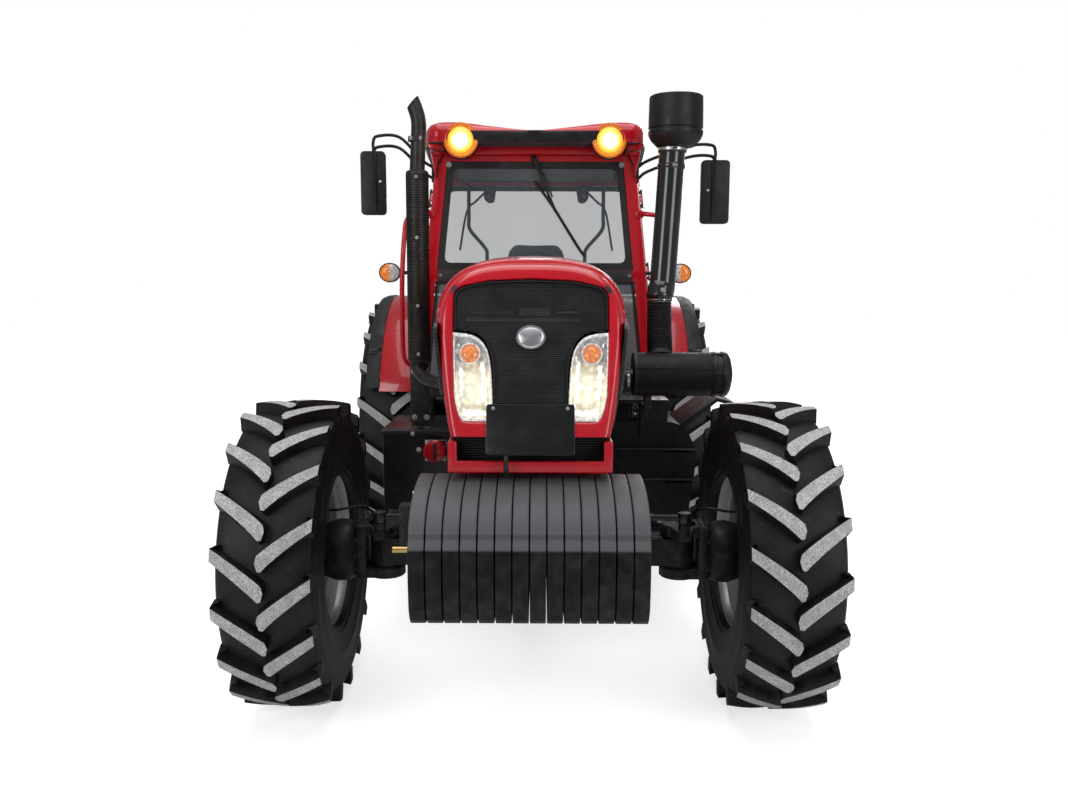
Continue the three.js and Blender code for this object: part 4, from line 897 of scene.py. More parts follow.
def toward(outline, x, z):
    """Where the ray from the grille's centre through (x, z) meets a closed outline."""
    ox, oz = GRILLE_CENTRE
    dx, dz = x - ox, z - oz
    best = None
    for (ax, az), (bx, bz) in zip(outline, outline[1:] + outline[:1]):
        ex, ez = bx - ax, bz - az
        cross = dx * ez - dz * ex
        if abs(cross) < 1e-9:
            continue
        t = ((ax - ox) * ez - (az - oz) * ex) / cross
        u = ((ax - ox) * dz - (az - oz) * dx) / cross
        if t > 0 and -1e-6 <= u <= 1 + 1e-6 and (best is None or t < best):
            best = t
    return ox + dx * best, oz + dz * best


def grown_outline(outline, amount):
    """A closed outline scaled outwards by a few millimetres about the grille's centre."""
    ox, oz = GRILLE_CENTRE
    out = []
    for x, z in outline:
        size = math.hypot(x - ox, z - oz)
        out.append((ox + (x - ox) * (size + amount) / size, oz + (z - oz) * (size + amount) / size))
    return out


def face_ring(shrink, set_back):
    points = arch(-900, shrink)
    feet = [points[-1][0] * (1 - 2 * i / 15) for i in range(1, 15)]
    bottom = points[0][1] if shrink < 1 else HOOD_BOTTOM + min(shrink, 8)
    loop = [(x, max(z, bottom)) for x, z in points] + [(x, bottom) for x in feet]
    return loop, [spot(x, face_y(z) + set_back, z) for x, z in loop], len(points)


hood_bm = bmesh.new()
opening = OPENING + [(-x, z) for x, z in OPENING[-2:0:-1]]
outer_rings = []
for shrink, set_back in ((0, 46), (1.5, 30), (6, 15), (13, 5), (22, 0)):
    loop, places, arch_count = face_ring(shrink, set_back)
    outer_rings.append([hood_bm.verts.new(p) for p in places])
rim_loop = loop
inner_rings = []
for grow, set_back in ((12, 0.0), (4, 2.0), (0, 8.0), (0, 40.0)):
    edge = grown_outline(opening, grow)
    loop = [toward(edge, x, z) for x, z in rim_loop]
    inner_rings.append([hood_bm.verts.new(spot(x, face_y(z) + set_back, z)) for x, z in loop])
bridge(hood_bm, outer_rings + inner_rings)
skin_rings = [outer_rings[0][:arch_count]]
for y in (-820, -760, -700, -640, -520, -400, -300, -150, 0, 150, 300, 600, 900, 1200, HOOD_BACK):
    skin_rings.append([hood_bm.verts.new(spot(x, max(y, face_y(z) + 52), z)) for x, z in arch(y)])
for a, b in zip(skin_rings, skin_rings[1:]):
    for i in range(arch_count - 1):
        hood_bm.faces.new([a[i], b[i], b[i + 1], a[i + 1]])
bmesh.ops.recalc_face_normals(hood_bm, faces=hood_bm.faces)
middle_top = max(hood_bm.faces, key=lambda f: f.calc_center_median().z)
if middle_top.normal.z < 0:
    bmesh.ops.reverse_faces(hood_bm, faces=hood_bm.faces)
LINER = finish_of("hood_liner", (0.02, 0.02, 0.021), 0.8, drift=0.3, patch=6.0, grain=180.0, bump=0.0012, dust=0.3)
hood_shell = applied(as_mesh(hood_bm, RED, LINER), ("SOLIDIFY",
        dict(thickness=0.004, offset=-1.0, material_offset=1)))
hinge_mesh = bmesh.new()
for side in (-1, 1):
    block(hinge_mesh, *sorted((side * 186, side * 199)), 1402, 1434, 1886, 1938, 2)
hood_piece = joined("hood_shell", [hood_shell, as_mesh(hinge_mesh, CHASSIS)], node_body["hood"], 40, ("hood",))
print("hood faces", len(hood_piece.data.polygons))

# %% [markdown]
# ## Grille
# The mesh between the lamps is woven from thin wires that all end at the frame. A tree lays them:
# each wire starts as a point inside the outline, two rays look for the rim on either side, and a
# wire of unit length is stretched over the distance found. It works on a flat outline, and the
# result is leaned back afterwards to lie in the sloping face.

# %% Wires that reach the rim
WIRES, WIRE_KEYS, given, out = new_tree("wires_to_rim", [
    ("Part", "Object"), ("Rim", "Object"), ("Count", "Int"), ("Start", "Vector"), ("Step", "Vector"),
    ("Reach", "Vector"), ("Material", "Material")])
wire_index = WIRES.nodes.new("GeometryNodeInputIndex").outputs[0]
wire_place = tree_math(WIRES, "ADD", given.outputs["Start"], tree_math(
    WIRES, "SCALE", given.outputs["Step"], wire_index, vector=True), vector=True)
wire_points = add_node(WIRES, "GeometryNodePoints", {"Count": given.outputs["Count"], "Position": wire_place})
wire_rim = add_node(WIRES, "GeometryNodeObjectInfo", {"Object": given.outputs["Rim"]})
wire_here = WIRES.nodes.new("GeometryNodeInputPosition").outputs[0]
wire_back = tree_math(WIRES, "SCALE", given.outputs["Reach"], -1.0, vector=True)
distances = []
for direction in (given.outputs["Reach"], wire_back):
    ray = add_node(WIRES, "GeometryNodeRaycast", {
        "Target Geometry": wire_rim.outputs["Geometry"], "Source Position": wire_here,
        "Ray Direction": direction, "Ray Length": 1.0})
    distances.append(ray.outputs["Hit Distance"])
wire_shift = tree_math(WIRES, "MULTIPLY", tree_math(WIRES, "SUBTRACT", *distances), 0.5)
wire_middle = add_node(WIRES, "GeometryNodeSetPosition", {
    "Geometry": wire_points.outputs[0],
    "Offset": tree_math(WIRES, "SCALE", given.outputs["Reach"], wire_shift, vector=True)})
wire_length = tree_math(WIRES, "ADD", *distances)
wire_scale = tree_math(WIRES, "ADD", tree_math(WIRES, "SCALE", given.outputs["Reach"], wire_length, vector=True),
                       tree_math(WIRES, "SUBTRACT", (1, 1, 1), given.outputs["Reach"], vector=True), vector=True)
close_tree(WIRES, given, wire_middle.outputs[0], out)
WIRES.links.new(wire_scale, next(n for n in WIRES.nodes
                                 if n.bl_idname == "GeometryNodeInstanceOnPoints").inputs["Scale"])
print("wire tree nodes", len(WIRES.nodes))

# %% Mesh, bars and badge
GRILLE_HALF = [(0, 1369), (119, 1369), (122, 1425), (125, 1500), (129, 1555), (137, 1592), (149, 1622), (163, 1640),
               (181, 1653), (220, 1665), (262, 1669), (262.5, 1778), (256, 1798), (234, 1812), (150, 1830),
               (0, 1837)]
grille_outline = GRILLE_HALF + [(-x, z) for x, z in GRILLE_HALF[-2:0:-1]]


def leaned(bm, set_back):
    """Leans a flat shape in the XZ plane back into the hood's face."""
    for vert in bm.verts:
        z = vert.co.z / MM
        vert.co.y += spot(0, face_y(z) + set_back, 0).y
    return bm


rim_bm = bmesh.new()
front = [rim_bm.verts.new((x * MM, -0.02, z * MM)) for x, z in grille_outline]
back = [rim_bm.verts.new((x * MM, 0.02, z * MM)) for x, z in grille_outline]
bridge(rim_bm, [front, back])
rim_object = bpy.data.objects.new("rim", as_mesh(rim_bm))
bpy.context.scene.collection.objects.link(rim_object)


def wires(direction, count, start, step, thick, deep):
    """A set of wires across or up the grille, leaned into its face."""
    unit = bmesh.new()
    u, v, d = (0.5, thick * MM / 2, deep * MM / 2) if direction[0] else (thick * MM / 2, 0.5, deep * MM / 2)
    corners = [(x, y, z) for x in (-u, u) for y in (-d, d) for z in (-v, v)]
    add_faces(unit, corners, [(0, 1, 3, 2), (4, 6, 7, 5), (0, 4, 5, 1), (2, 3, 7, 6), (0, 2, 6, 4), (1, 5, 7, 3)])
    mesh = grown(WIRES, WIRE_KEYS, unit, PLASTIC, Rim=rim_object, Count=count, Start=start, Step=step,
                 Reach=direction)
    bm = bmesh.new()
    bm.from_mesh(mesh)
    return bm


MESH_GREY = finish_of("grille_wire", (0.03, 0.031, 0.033), 0.38, drift=0.3, patch=14.0, grain=600.0, bump=0.0001)
BAR_GREY = finish_of("condenser_bar", (0.13, 0.13, 0.125), 0.42, metal=0.4, drift=0.25, patch=20.0, grain=500.0)
grille_meshes = []
level = wires((1, 0, 0), 66, (0, 0, 1.3725), (0, 0, 0.007), 2.4, 3.0)
grille_meshes.append(as_mesh(leaned(level, 15), MESH_GREY))
upright = wires((0, 0, 1), 75, (-0.2590, 0, 1.70), (0.007, 0, 0), 1.3, 2.0)
grille_meshes.append(as_mesh(leaned(upright, 17), MESH_GREY))
# A black sheet behind the wires closes the grille: painted shade standing in for the dark space behind it.
grille_shade_sheet = bmesh.new()
slab(grille_shade_sheet, "y", grille_outline, 0, 2)
grille_meshes.append(as_mesh(leaned(about_origin(grille_shade_sheet), 46), PLASTIC))
behind = bmesh.new()
for x0, x1, z0, z1 in ((-222, 168, 1694, 1706), (-205, -60, 1722, 1727), (-40, 66, 1716, 1740),
                       (84, 160, 1722, 1730)):
    block(behind, x0, x1, 0, 8, z0, z1, 2)
grille_meshes.append(as_mesh(leaned(about_origin(behind), 28), BAR_GREY))
edge = bmesh.new()
ring = [[edge.verts.new((x * MM, y * MM, z * MM)) for x, z in grown_outline(grille_outline, g)]
        for g, y in ((0, 22), (0, 2), (-2, 0), (-7, 0), (-8, 3), (-8, 20))]
bridge(edge, ring)
bmesh.ops.recalc_face_normals(edge, faces=edge.faces)
grille_meshes.append(as_mesh(leaned(edge, 6), PLASTIC))
badge = bmesh.new()
lathe(badge, "y", (0, 0, 1644), [(0, -9), (38, -8.4), (40, -7.2), (43, -8.6), (49, -8.6), (51, -6), (51, 6),
                                 (0, 6)],
      56)
for vert in badge.verts:
    vert.co.z = 1.644 + (vert.co.z - 1.644) * 0.8
grille_meshes.append(as_mesh(leaned(about_origin(badge), 8), STEEL))
joined("grille_mesh", grille_meshes, node_body["grille"], 35, ("grille",))
bpy.data.objects.remove(rim_object)
print("grille meshes", len(grille_meshes))

# %% [markdown]
# ## Headlamps
# A composite headlamp is a bright reflector with a small amber bulb above a lit main bulb, all
# behind one clear cover. The reflector is a dished fan over the outline, fluted by its bump, and
# it glows where the bulb is. The glow is a pattern on Object coordinates, so both lamps share it.

# %% Headlamp finishes
REFLECTOR, lamp_tree, lamp_shader = shader_of("lamp_reflector")
lamp_axes = axes_of(lamp_tree, object_place(lamp_tree))
lamp_across = maths(lamp_tree, "ABSOLUTE", lamp_axes[0])


def cell_pattern(tree, scale):
    """A pattern of small cells, rising from each cell's middle."""
    return add_node(tree, "ShaderNodeTexVoronoi", {"Scale": scale,
            "Vector": object_place(tree)}).outputs["Distance"]


def oval(tree, u, v):
    """The distance from the middle in two directions."""
    squares = [maths(tree, "MULTIPLY", side, side) for side in (u, v)]
    return maths(tree, "SQRT", maths(tree, "ADD", *squares))


def glow_spot(x, z, wide, tall, inner, outer):
    """1 in the middle of an oval spot and 0 outside it, in metres."""
    u = maths(lamp_tree, "DIVIDE", maths(lamp_tree, "SUBTRACT", lamp_across, x), wide)
    v = maths(lamp_tree, "DIVIDE", maths(lamp_tree, "SUBTRACT", lamp_axes[2], z), tall)
    return ramp(lamp_tree, oval(lamp_tree, u, v), inner, outer, 1.0, 0.0)


lamp_glow = maths(lamp_tree, "ADD", glow_spot(0.19, 1.488, 0.062, 0.062, 0.2, 1.5), maths(
    lamp_tree, "MULTIPLY", glow_spot(0.19, 1.42, 0.075, 0.05, 0.1, 1.4), 0.6))
lamp_facets = cell_pattern(lamp_tree, 46.0)
lamp_sparkle = ramp(lamp_tree, lamp_facets, 0.1, 0.75, 1.1, 0.72)
wire(lamp_tree, maths(lamp_tree, "MULTIPLY", maths(lamp_tree, "MULTIPLY", lamp_glow, lamp_sparkle), 1.05),
     lamp_shader.inputs["Emission Strength"])
wire(lamp_tree, blend_colour(lamp_tree, lamp_glow, (1.0, 0.7, 0.26, 1), (1.0, 0.92, 0.62, 1)),
     lamp_shader.inputs["Emission Color"])
wire(lamp_tree, blend_colour(lamp_tree, ramp(lamp_tree, lamp_facets, 0.1, 0.8),
                             (0.88, 0.87, 0.84, 1), (0.45, 0.45, 0.45, 1)), lamp_shader.inputs["Base Color"])
feed(lamp_tree, lamp_shader, {"Metallic": 0.85, "Roughness": 0.22})
relief(lamp_tree, lamp_shader, lamp_facets, 0.0016, 0.8)


def lit_finish(name, colour, glow, strength, rough=0.25, alpha=1.0, scale=90.0):
    """A moulded lens that shines a little, with a facet pattern in its relief."""
    material, tree, shader = shader_of(name)
    cells = cell_pattern(tree, scale)
    shade = tuple(c * 0.6 for c in colour) + (1,)
    feed(tree, shader, {
        "Base Color": blend_colour(tree, ramp(tree, cells, 0.1, 0.7), (*colour, 1), shade),
        "Emission Strength": ramp(tree, cells, 0.0, 0.8, strength * 1.25, strength * 0.6),
        "Emission Color": (*glow, 1), "Roughness": rough, "Alpha": alpha, "Coat Weight": 0.6})
    relief(tree, shader, cells, 0.0015, 0.5)
    return material


AMBER = lit_finish("amber_lens", (0.85, 0.2, 0.01), (1.0, 0.28, 0.01), 0.35)
# The headlamp's rim and the ring round its amber bulb glow white though they are no lamps: painted light from the
# bulb.
LAMP_RIM_GLOW = lit_finish("lamp_rim_painted_glow", (0.85, 0.86, 0.86), (1.0, 0.98, 0.93), 0.25, 0.2)
COVER = lit_finish("clear_cover", (0.9, 0.92, 0.92), (1, 1, 1), 0.0, 0.04, alpha=0.1)
print("lamp finishes done")

# %% Headlamp pieces
LAMP_OUTLINE = [(226, 1368), (238, 1384), (247, 1408), (256, 1450), (261, 1560), (263.5, 1659), (222, 1655),
                (196, 1649), (178, 1640), (160, 1622), (147, 1600), (139, 1570), (133, 1530), (129, 1470),
                (127, 1424), (131, 1390), (139, 1368)]
LAMP_MIDDLE = (195, 1500)


def lamp_ring(share, extra=0.0):
    mx, mz = LAMP_MIDDLE
    return [(mx + (x - mx) * share + extra, mz + (z - mz) * share) for x, z in LAMP_OUTLINE]


def headlamp(word, side):
    def fan(levels, material, close=True):
        bm = bmesh.new()
        rings = [[bm.verts.new((side * x * MM, depth * MM, z * MM)) for x, z in lamp_ring(share)]
                 for share, depth in levels]
        bridge(bm, rings)
        if close:
            bm.faces.new(rings[-1])
        bmesh.ops.recalc_face_normals(bm, faces=bm.faces)
        face = min(bm.faces, key=lambda f: f.calc_center_median().y)
        if face.normal.y > 0:
            bmesh.ops.reverse_faces(bm, faces=bm.faces)
        return as_mesh(leaned(bm, 4), material)

    meshes = [
        fan([(0.93, 4), (0.9, 22), (0.72, 34), (0.45, 40), (0.2, 42)], REFLECTOR),
        # The rim inside the cover, with its painted glow.
        fan([(0.995, 30), (0.995, 2), (0.975, 0), (0.94, 0), (0.925, 3), (0.92, 14)], LAMP_RIM_GLOW, close=False),
        fan([(0.99, 2), (0.97, -3), (0.85, -7), (0.6, -10), (0.3, -12)], COVER),
    ]
    bulb = bmesh.new()
    lathe(bulb, "y", (side * 207, 0, 1588), [(0, 4), (12, 5), (22, 9), (29, 16), (31, 24), (31, 36), (0, 36)], 32)
    lathe(bulb, "y", (side * 207, 0, 1588), [(31, 20), (35, 19), (37, 24), (37, 36), (31, 36)], 32, index=1,
          closed=True)
    meshes.append(as_mesh(leaned(about_origin(bulb), 2), AMBER, LAMP_RIM_GLOW))
    return joined(f"lamp_{word}", meshes, node_body[f"headlamp_{word}"], 40, (f"headlamp_{word}",))


mirrored_pair(headlamp)

# %% [markdown]
# ## Plate, lower bar and ballast
# The number plate is a blank black sheet on two bolts. Below it a red bar closes the nose, with
# the towing pin's handle in front. The ballast is one suitcase weight, cast with a folded nose
# and generous radii, repeated fourteen times on its carrier by the grid tree.

# %% Plate and lower bar
plate_bm = bmesh.new()
outline = []
for cx, cz, a0 in ((139, 1417, 0), (-139, 1417, 90), (-139, 1270, 180), (139, 1270, 270)):
    outline += [(cx + 8 * math.cos(math.radians(a0 + 15 * k)), cz + 8 * math.sin(math.radians(a0 + 15 * k)))
                for k in range(7)]
slab(plate_bm, "y", outline, -7, -1, 1.2)
PLATE_BLACK = finish_of("plate_black", (0.004, 0.0038, 0.0036), 0.2, drift=0.3, patch=4.0, grain=60.0, bump=0.0004,
                        dust=0.06, dust_top=2.0)
plate_meshes = [as_mesh(leaned(about_origin(plate_bm), 0), PLATE_BLACK)]
plate_meshes += bolts(STEEL, [(x, face_y(1411) - 7, 1411) for x in (-124, 124)], 4.5, 4)
joined("plate_blank", plate_meshes, node_body["number_plate"], 35, ("number_plate",))

softened("lower_fascia", RED, 9, 3)
tow_pin = bmesh.new()
sweep(tow_pin, [(-80, -952, 1262), (-80, -958, 1240), (-80, -958, 1214), (-80, -950, 1196), (-80, -930, 1186)], 8.5,
      12, 4)
lathe(tow_pin, "z", (-80, -900, 0), [(0, 1180), (16, 1180), (18, 1184), (18, 1206), (14, 1212), (0, 1212)], 20)
piece("tow_pin", tow_pin, BLACK, "root")
# A solid black plate behind the louvres closes the opening: painted shade standing in for the dark space behind.
inner = bmesh.new()
slab(inner, "y", [(-252, 1208), (252, 1208), (252, 1316), (-252, 1316)], -868, -860, 1)
for n in range(9):
    block(inner, -246, 246, -880, -868, 1238 + n * 8.4, 1242 + n * 8.4, 1)
piece("lower_screen", inner, PLASTIC, "root")
print("nose closed")

# %% Ballast plates
PLATE_COUNT, ROW_HALF = 14, 383
PLATE_PITCH = 2 * ROW_HALF / PLATE_COUNT
PLATE_SIDE = [(-792, 762), (-1096, 740), (-1122, 744), (-1140, 760), (-1162, 800), (-1171, 880), (-1172, 996),
              (-1167, 1008)] + [
    (-792 - 366 * math.cos(a) ** 0.8, 1004 + 168 * math.sin(a) ** 0.92)
    for a in [math.radians(6 + 6.6 * k) for k in range(13)]] + [(-800, 1168), (-792, 1150)]
weight = bmesh.new()
slab(weight, "x", PLATE_SIDE, -PLATE_PITCH / 2 + 1.6, PLATE_PITCH / 2 - 1.6, 5, segments=3)
IRON_FACE = finish_of("cast_weight", (0.0045, 0.0046, 0.0054), 0.4, drift=0.3, patch=11.0, grain=120.0, bump=0.0009,
                      dust=0.16, dust_top=1.4, wear=0.8, wear_colour=(0.12, 0.11, 0.1), specular=0.16)
# The plates' upward faces are painted paler grey-blue: partly dust, partly painted light from above.
dust_and_skylight_on_top(IRON_FACE, (0.1, 0.102, 0.108))
row = grid_of(about_origin(weight), IRON_FACE, PLATE_COUNT, (-ROW_HALF + PLATE_PITCH / 2, 0, 0),
              (PLATE_PITCH, 0, 0))
carrier = bmesh.new()
block(carrier, -379, 379, -798, -722, 884, 1086, 6)
block(carrier, -458, -386, -826, -764, 917, 1057, 5)
block(carrier, 386, 412, -820, -770, 930, 1040, 5)
fixings = bmesh.new()
sweep(fixings, [(-461, -950, 936), (-384, -950, 936)], 10.5, 14, 1)
sweep(fixings, [(-399, -950, 936), (-384, -950, 936)], 19, 6, 1)
sweep(fixings, [(384, -950, 936), (398, -950, 936)], 12, 6, 1)
pale = bmesh.new()
sweep(pale, [(-396, -905, 1119), (-378, -905, 1119)], 9, 6, 1)
sweep(pale, [(378, -905, 1119), (392, -905, 1119)], 7, 6, 1)
joined("ballast_row", [row, as_mesh(carrier, CHASSIS), as_mesh(fixings, BRASS), as_mesh(pale, STEEL)],
       node_body["ballast_weights"], 30, ("ballast_weights",))
print("plates", PLATE_COUNT, "pitch", round(PLATE_PITCH, 1))

# %% [markdown]
# ## Axle and chassis
# These castings keep their CAD shape with rounded edges. What they lack is what is screwed to
# them: bolt circles at the hubs and caps, and hydraulic pipes along the beam.

# %% Axle
softened("front_frame", CHASSIS, 5)
EYE_TOP, EYE_BOTTOM, ROD_Z = FRONT_AXLE_Z + 75, FRONT_AXLE_Z - 60, FRONT_AXLE_Z + 190
softened("engine", CHASSIS, 8)
softened("front_axle", CHASSIS, 5)
softened("steering_rod", BLACK, 1.5)
for word, side in (("left", 1), ("right", -1)):
    bm = bmesh.new()
    for low, high in ((EYE_TOP + 0.7, EYE_TOP + 50), (EYE_BOTTOM - 50, EYE_BOTTOM - 0.7)):
        lathe(bm, "z", (side * 640, 0, 0), [(0, high), (74, high), (82, high - 8), (82, low + 6), (76, low),
                                            (0, low)], 40)
        block(bm, *sorted((side * 640, side * 742)), -72, 72, low, high, 9)
    block(bm, *sorted((side * 716, side * 766)), -78, 78, EYE_BOTTOM - 50, EYE_TOP + 50, 14)
    hub = [(0, 758), (98, 760), (120, 774), (133, 800), (135, 850), (124, 884), (112, 908), (112, 994), (0, 994)]
    lathe(bm, "x", (0, 0, FRONT_AXLE_Z), [(r, side * x) for r, x in hub], 56)
    slab(bm, "z", [(side * x, y) for x, y in ((595, -60), (614, -185), (666, -185), (700, -60))], EYE_TOP + 15,
         EYE_TOP + 50, 6)
    lathe(bm, "z", (side * 640, -165, 0), [(0, EYE_TOP + 40), (26, EYE_TOP + 40), (26, ROD_Z - 26),
                                           (20, ROD_Z - 22.7), (0, ROD_Z - 22.7)], 28)
    piece(f"hub_carrier_{word}", bm, CHASSIS, f"knuckle_{word}", 35, (f"knuckle_{word}",))
    face = bolt_shape(9, 9, "-x" if side > 0 else "x")
    bmesh.ops.translate(face, verts=face.verts, vec=Vector((side * 764, 0, 104)) * MM)
    hub_bolts = ring_of(face, CHASSIS, 10, (0, 0, FRONT_AXLE_Z), start=0.3)
    guard = bmesh.new()
    sweep(guard, [(side * 700, 70, 800), (side * 735, 30, 842), (side * 790, -10, 850), (side * 850, -20, 842),
                  (side * 905, 10, 835)], 6, 8, 6)
    joined(f"knuckle_details_{word}", [hub_bolts, as_mesh(guard, BLACK)], f"knuckle_{word}", 35)
pipes = bmesh.new()
for side in (1, -1):
    sweep(pipes, [(side * 300, -165, 886), (side * 300, -150, 905), (side * 285, -110, 912), (side * 240, -60, 905),
                  (side * 232, 40, 890)], 7, 10, 6)
    block(pipes, *sorted((side * 288, side * 312)), -180, -150, 876, 894, 2)
    sweep(pipes, [(side * 120, -70, 768), (side * 300, -72, 752), (side * 470, -70, 742), (side * 560, -66, 735)],
          5,
          8, 5)
piece("axle_pipes", pipes, BLACK, "root")
beam_bolts = bolts(CHASSIS, [(x, -68, z) for x in (-92, 92) for z in (585, 735)] + [(0, -74, z)
        for z in (560, 760)],
                   11, 10)
joined("axle_bolts", beam_bolts, "root")
print("axle done")

# %% [markdown]
# ## Cab
# The cab is a welded red frame with glass on every side. Its frame keeps the CAD shape with
# rounded edges, but the firewall, the bar under the windscreen and the rear wall are dark grey, so
# `softened` picks the paint by place. Glass panes stay as the CAD made them and only get glass.

# %% Glass and cab frame
GLASS, glass_tree, glass_shader = shader_of("window_glass")
feed(glass_tree, glass_shader, {"Base Color": (0.2, 0.245, 0.27, 1), "Alpha": 0.2, "IOR": 1.3})
wire(glass_tree, ramp(glass_tree, noise(glass_tree, 3.0, 5.0), 0.3, 0.7, 0.015, 0.05),
     glass_shader.inputs["Roughness"])
TINTED = GLASS.copy()
TINTED.name = "tinted_glass"
tinted_shader = TINTED.node_tree.nodes["Principled BSDF"]
feed(TINTED.node_tree, tinted_shader, {"Base Color": (0.2, 0.235, 0.25, 1), "Alpha": 0.6})
CAB_GREY = finish_of("cab_trim", (0.055, 0.057, 0.06), 0.6, drift=0.15, patch=8.0, grain=800.0, bump=0.0003)
for node in [n for n in frame["nodes"]
             if n.startswith(("windscreen", "rear_window", "lower_window", "quarter_window", "door_glass"))]:
    for material_slot in frame["nodes"][node].material_slots:
        material_slot.material = TINTED if node.startswith("lower") else GLASS


def cab_side_x(y, z):
    return 640 + 0.12 * (y - 1500) - 0.11 * (z - 1884)


def cab_paint(centre, normal):
    x, y, z = abs(centre.x) / MM, (centre.y - FRONT_AXLE_Y) / MM, centre.z / MM
    outward = abs(normal.y) > 0.7 and (y < 1510 or y > 2900) or abs(normal.x) > 0.7 and x > cab_side_x(y, z) - 20
    return 0 if outward or z > 2508 else 2


softened("cab_frame", [RED, BLACK, CAB_GREY], 5, 2, choose=cab_paint)
print("glass panes", len([n for n in frame["nodes"] if "window" in n or "glass" in n or n == "windscreen"]))

# %% Borders, seals and wiper
def rounded(outline, radius, steps=5):
    """An outline with its corners rounded."""
    out = []
    for i, (x, y) in enumerate(outline):
        here = Vector((x, y))
        a, b = Vector(outline[i - 1]) - here, Vector(outline[(i + 1) % len(outline)]) - here
        reach = min(radius, a.length * 0.45, b.length * 0.45)
        start, end = here + a.normalized() * reach, here + b.normalized() * reach
        for k in range(steps + 1):
            t = k / steps
            out.append(tuple(start * (1 - t) ** 2 + here * 2 * t * (1 - t) + end * t * t))
    return out


def shrunk(outline, amount):
    """A convex outline moved inwards by a distance."""
    count, out = len(outline), []
    middle = Vector((sum(p[0] for p in outline) / count, sum(p[1] for p in outline) / count))
    for i in range(count):
        a, b, c = (Vector(outline[(i + k) % count]) for k in (-1, 0, 1))
        lines = []
        for p, q in ((a, b), (b, c)):
            n = Vector((-(q - p).y, (q - p).x)).normalized()
            lines.append((n if n.dot(middle - p) > 0 else -n, p))
        n = (lines[0][0] + lines[1][0]).normalized()
        out.append(tuple(b + n * amount / max(0.3, n.dot(lines[0][0]))))
    return out


def ring_frame(bm, axis, outer, inner, start, end, bend=None, index=0):
    """A flat frame between two outlines with equally many corners."""
    order = {"x": lambda u, v, w: (w, u, v), "y": lambda u, v, w: (u, w, v)}[axis]
    place = lambda u, v, w: spot(*(bend(*order(u, v, w)) if bend else order(u, v, w)))
    rings = [[bm.verts.new(place(u, v, w)) for u, v in line] for line, w in
             ((outer, start), (outer, end), (inner, end), (inner, start))]
    bmesh.ops.recalc_face_normals(bm, faces=bridge(bm, rings + rings[:1], index=index))


SCREEN = [(-574, 1896), (574, 1896), (508, 2514), (-508, 2514)]
seals = bmesh.new()
slab(seals, "y", [(-568, 1832), (568, 1832), (561, 1897), (-561, 1897)], 1494, 1500, 2)
slab(seals, "y", [(-439, 1151), (439, 1151), (439, 1836), (-439, 1836)], 1494, 1500, 2)
for side in (-1, 1):
    slab(seals, "y", [(side * 439, 1151), (side * 640, 1151), (side * 640, 1250), (side * 439, 1250)], 1494, 1500,
         2)
ring_frame(seals, "y", rounded(SCREEN, 14), rounded(shrunk(SCREEN, 42), 42), 1507, 1512)
for side in (-1, 1):
    pane = [(side * x, z) for x, z in ((441, 1252), (cab_side_x(1500, 1252) - 70, 1252),
                                       (cab_side_x(1500, 1830) - 70, 1830), (441, 1830))]
    ring_frame(seals, "y", rounded(pane, 6), rounded(shrunk(pane, 16), 14), 1508, 1512)
rear_pane = [(-(cab_side_x(2880, z) - 74) * s, z) for s, z in ((1, 1802), (-1, 1802), (-1, 2508), (1, 2508))]
ring_frame(seals, "y", rounded(rear_pane, 30), rounded(shrunk(rear_pane, 34), 60), 2886, 2892)
ring_frame(seals, "y", rounded(rear_pane, 30), rounded(shrunk(rear_pane, 30), 60), 2872, 2880)
for side in (-1, 1):
    onto = lambda x, y, z: (side * (cab_side_x(y, z) + x), y, z)
    quarter = [(2472, 1802), (2848, 1802), (2848, 2508), (2472, 2508)]
    ring_frame(seals, "x", rounded(quarter, 24), rounded(shrunk(quarter, 20), 40), -20, -14, onto)
piece("screen_seals", seals, RUBBER_TRIM, "root")

wiper = bmesh.new()
sweep(wiper, [(0, 1496, 2500), (-6, 1486, 2522), (-8, 1478, 2536)], 16, 16, 2)
sweep(wiper, [(-8, 1480, 2534), (40, 1484, 2408), (88, 1492, 2300), (118, 1497, 2230)], 8, 8, 5)
sweep(wiper, [(6, 1480, 2526), (56, 1484, 2412), (100, 1490, 2312)], 5, 8, 3)
sweep(wiper, [(-4, 1500, 2402), (100, 1501, 2262), (208, 1502, 2092), (262, 1502, 2010), (286, 1503, 1980)], 9, 6,
      5)
sweep(wiper, [(30, 1495, 2360), (118, 1492, 2236), (232, 1496, 2060)], 6.5, 6, 4)
piece("wiper", wiper, RUBBER_TRIM, "root")
cab_bolts = bolts(STEEL, [(x, 1500, 1866) for x in (-548, 548)] + [(x, 1500, 2494) for x in (-494, 494)], 11, 8)
joined("cab_bolts", cab_bolts, "root")
print("cab glazing trimmed")

# %% [markdown]
# ## Roof
# The roof is one moulding with a crown, rounded corners and a dip between the two lamp pods. It is
# built as rings of one outline that rise and shrink, and the middle of the front is then lowered.
# The lamps sit in short round pods under the front edge.

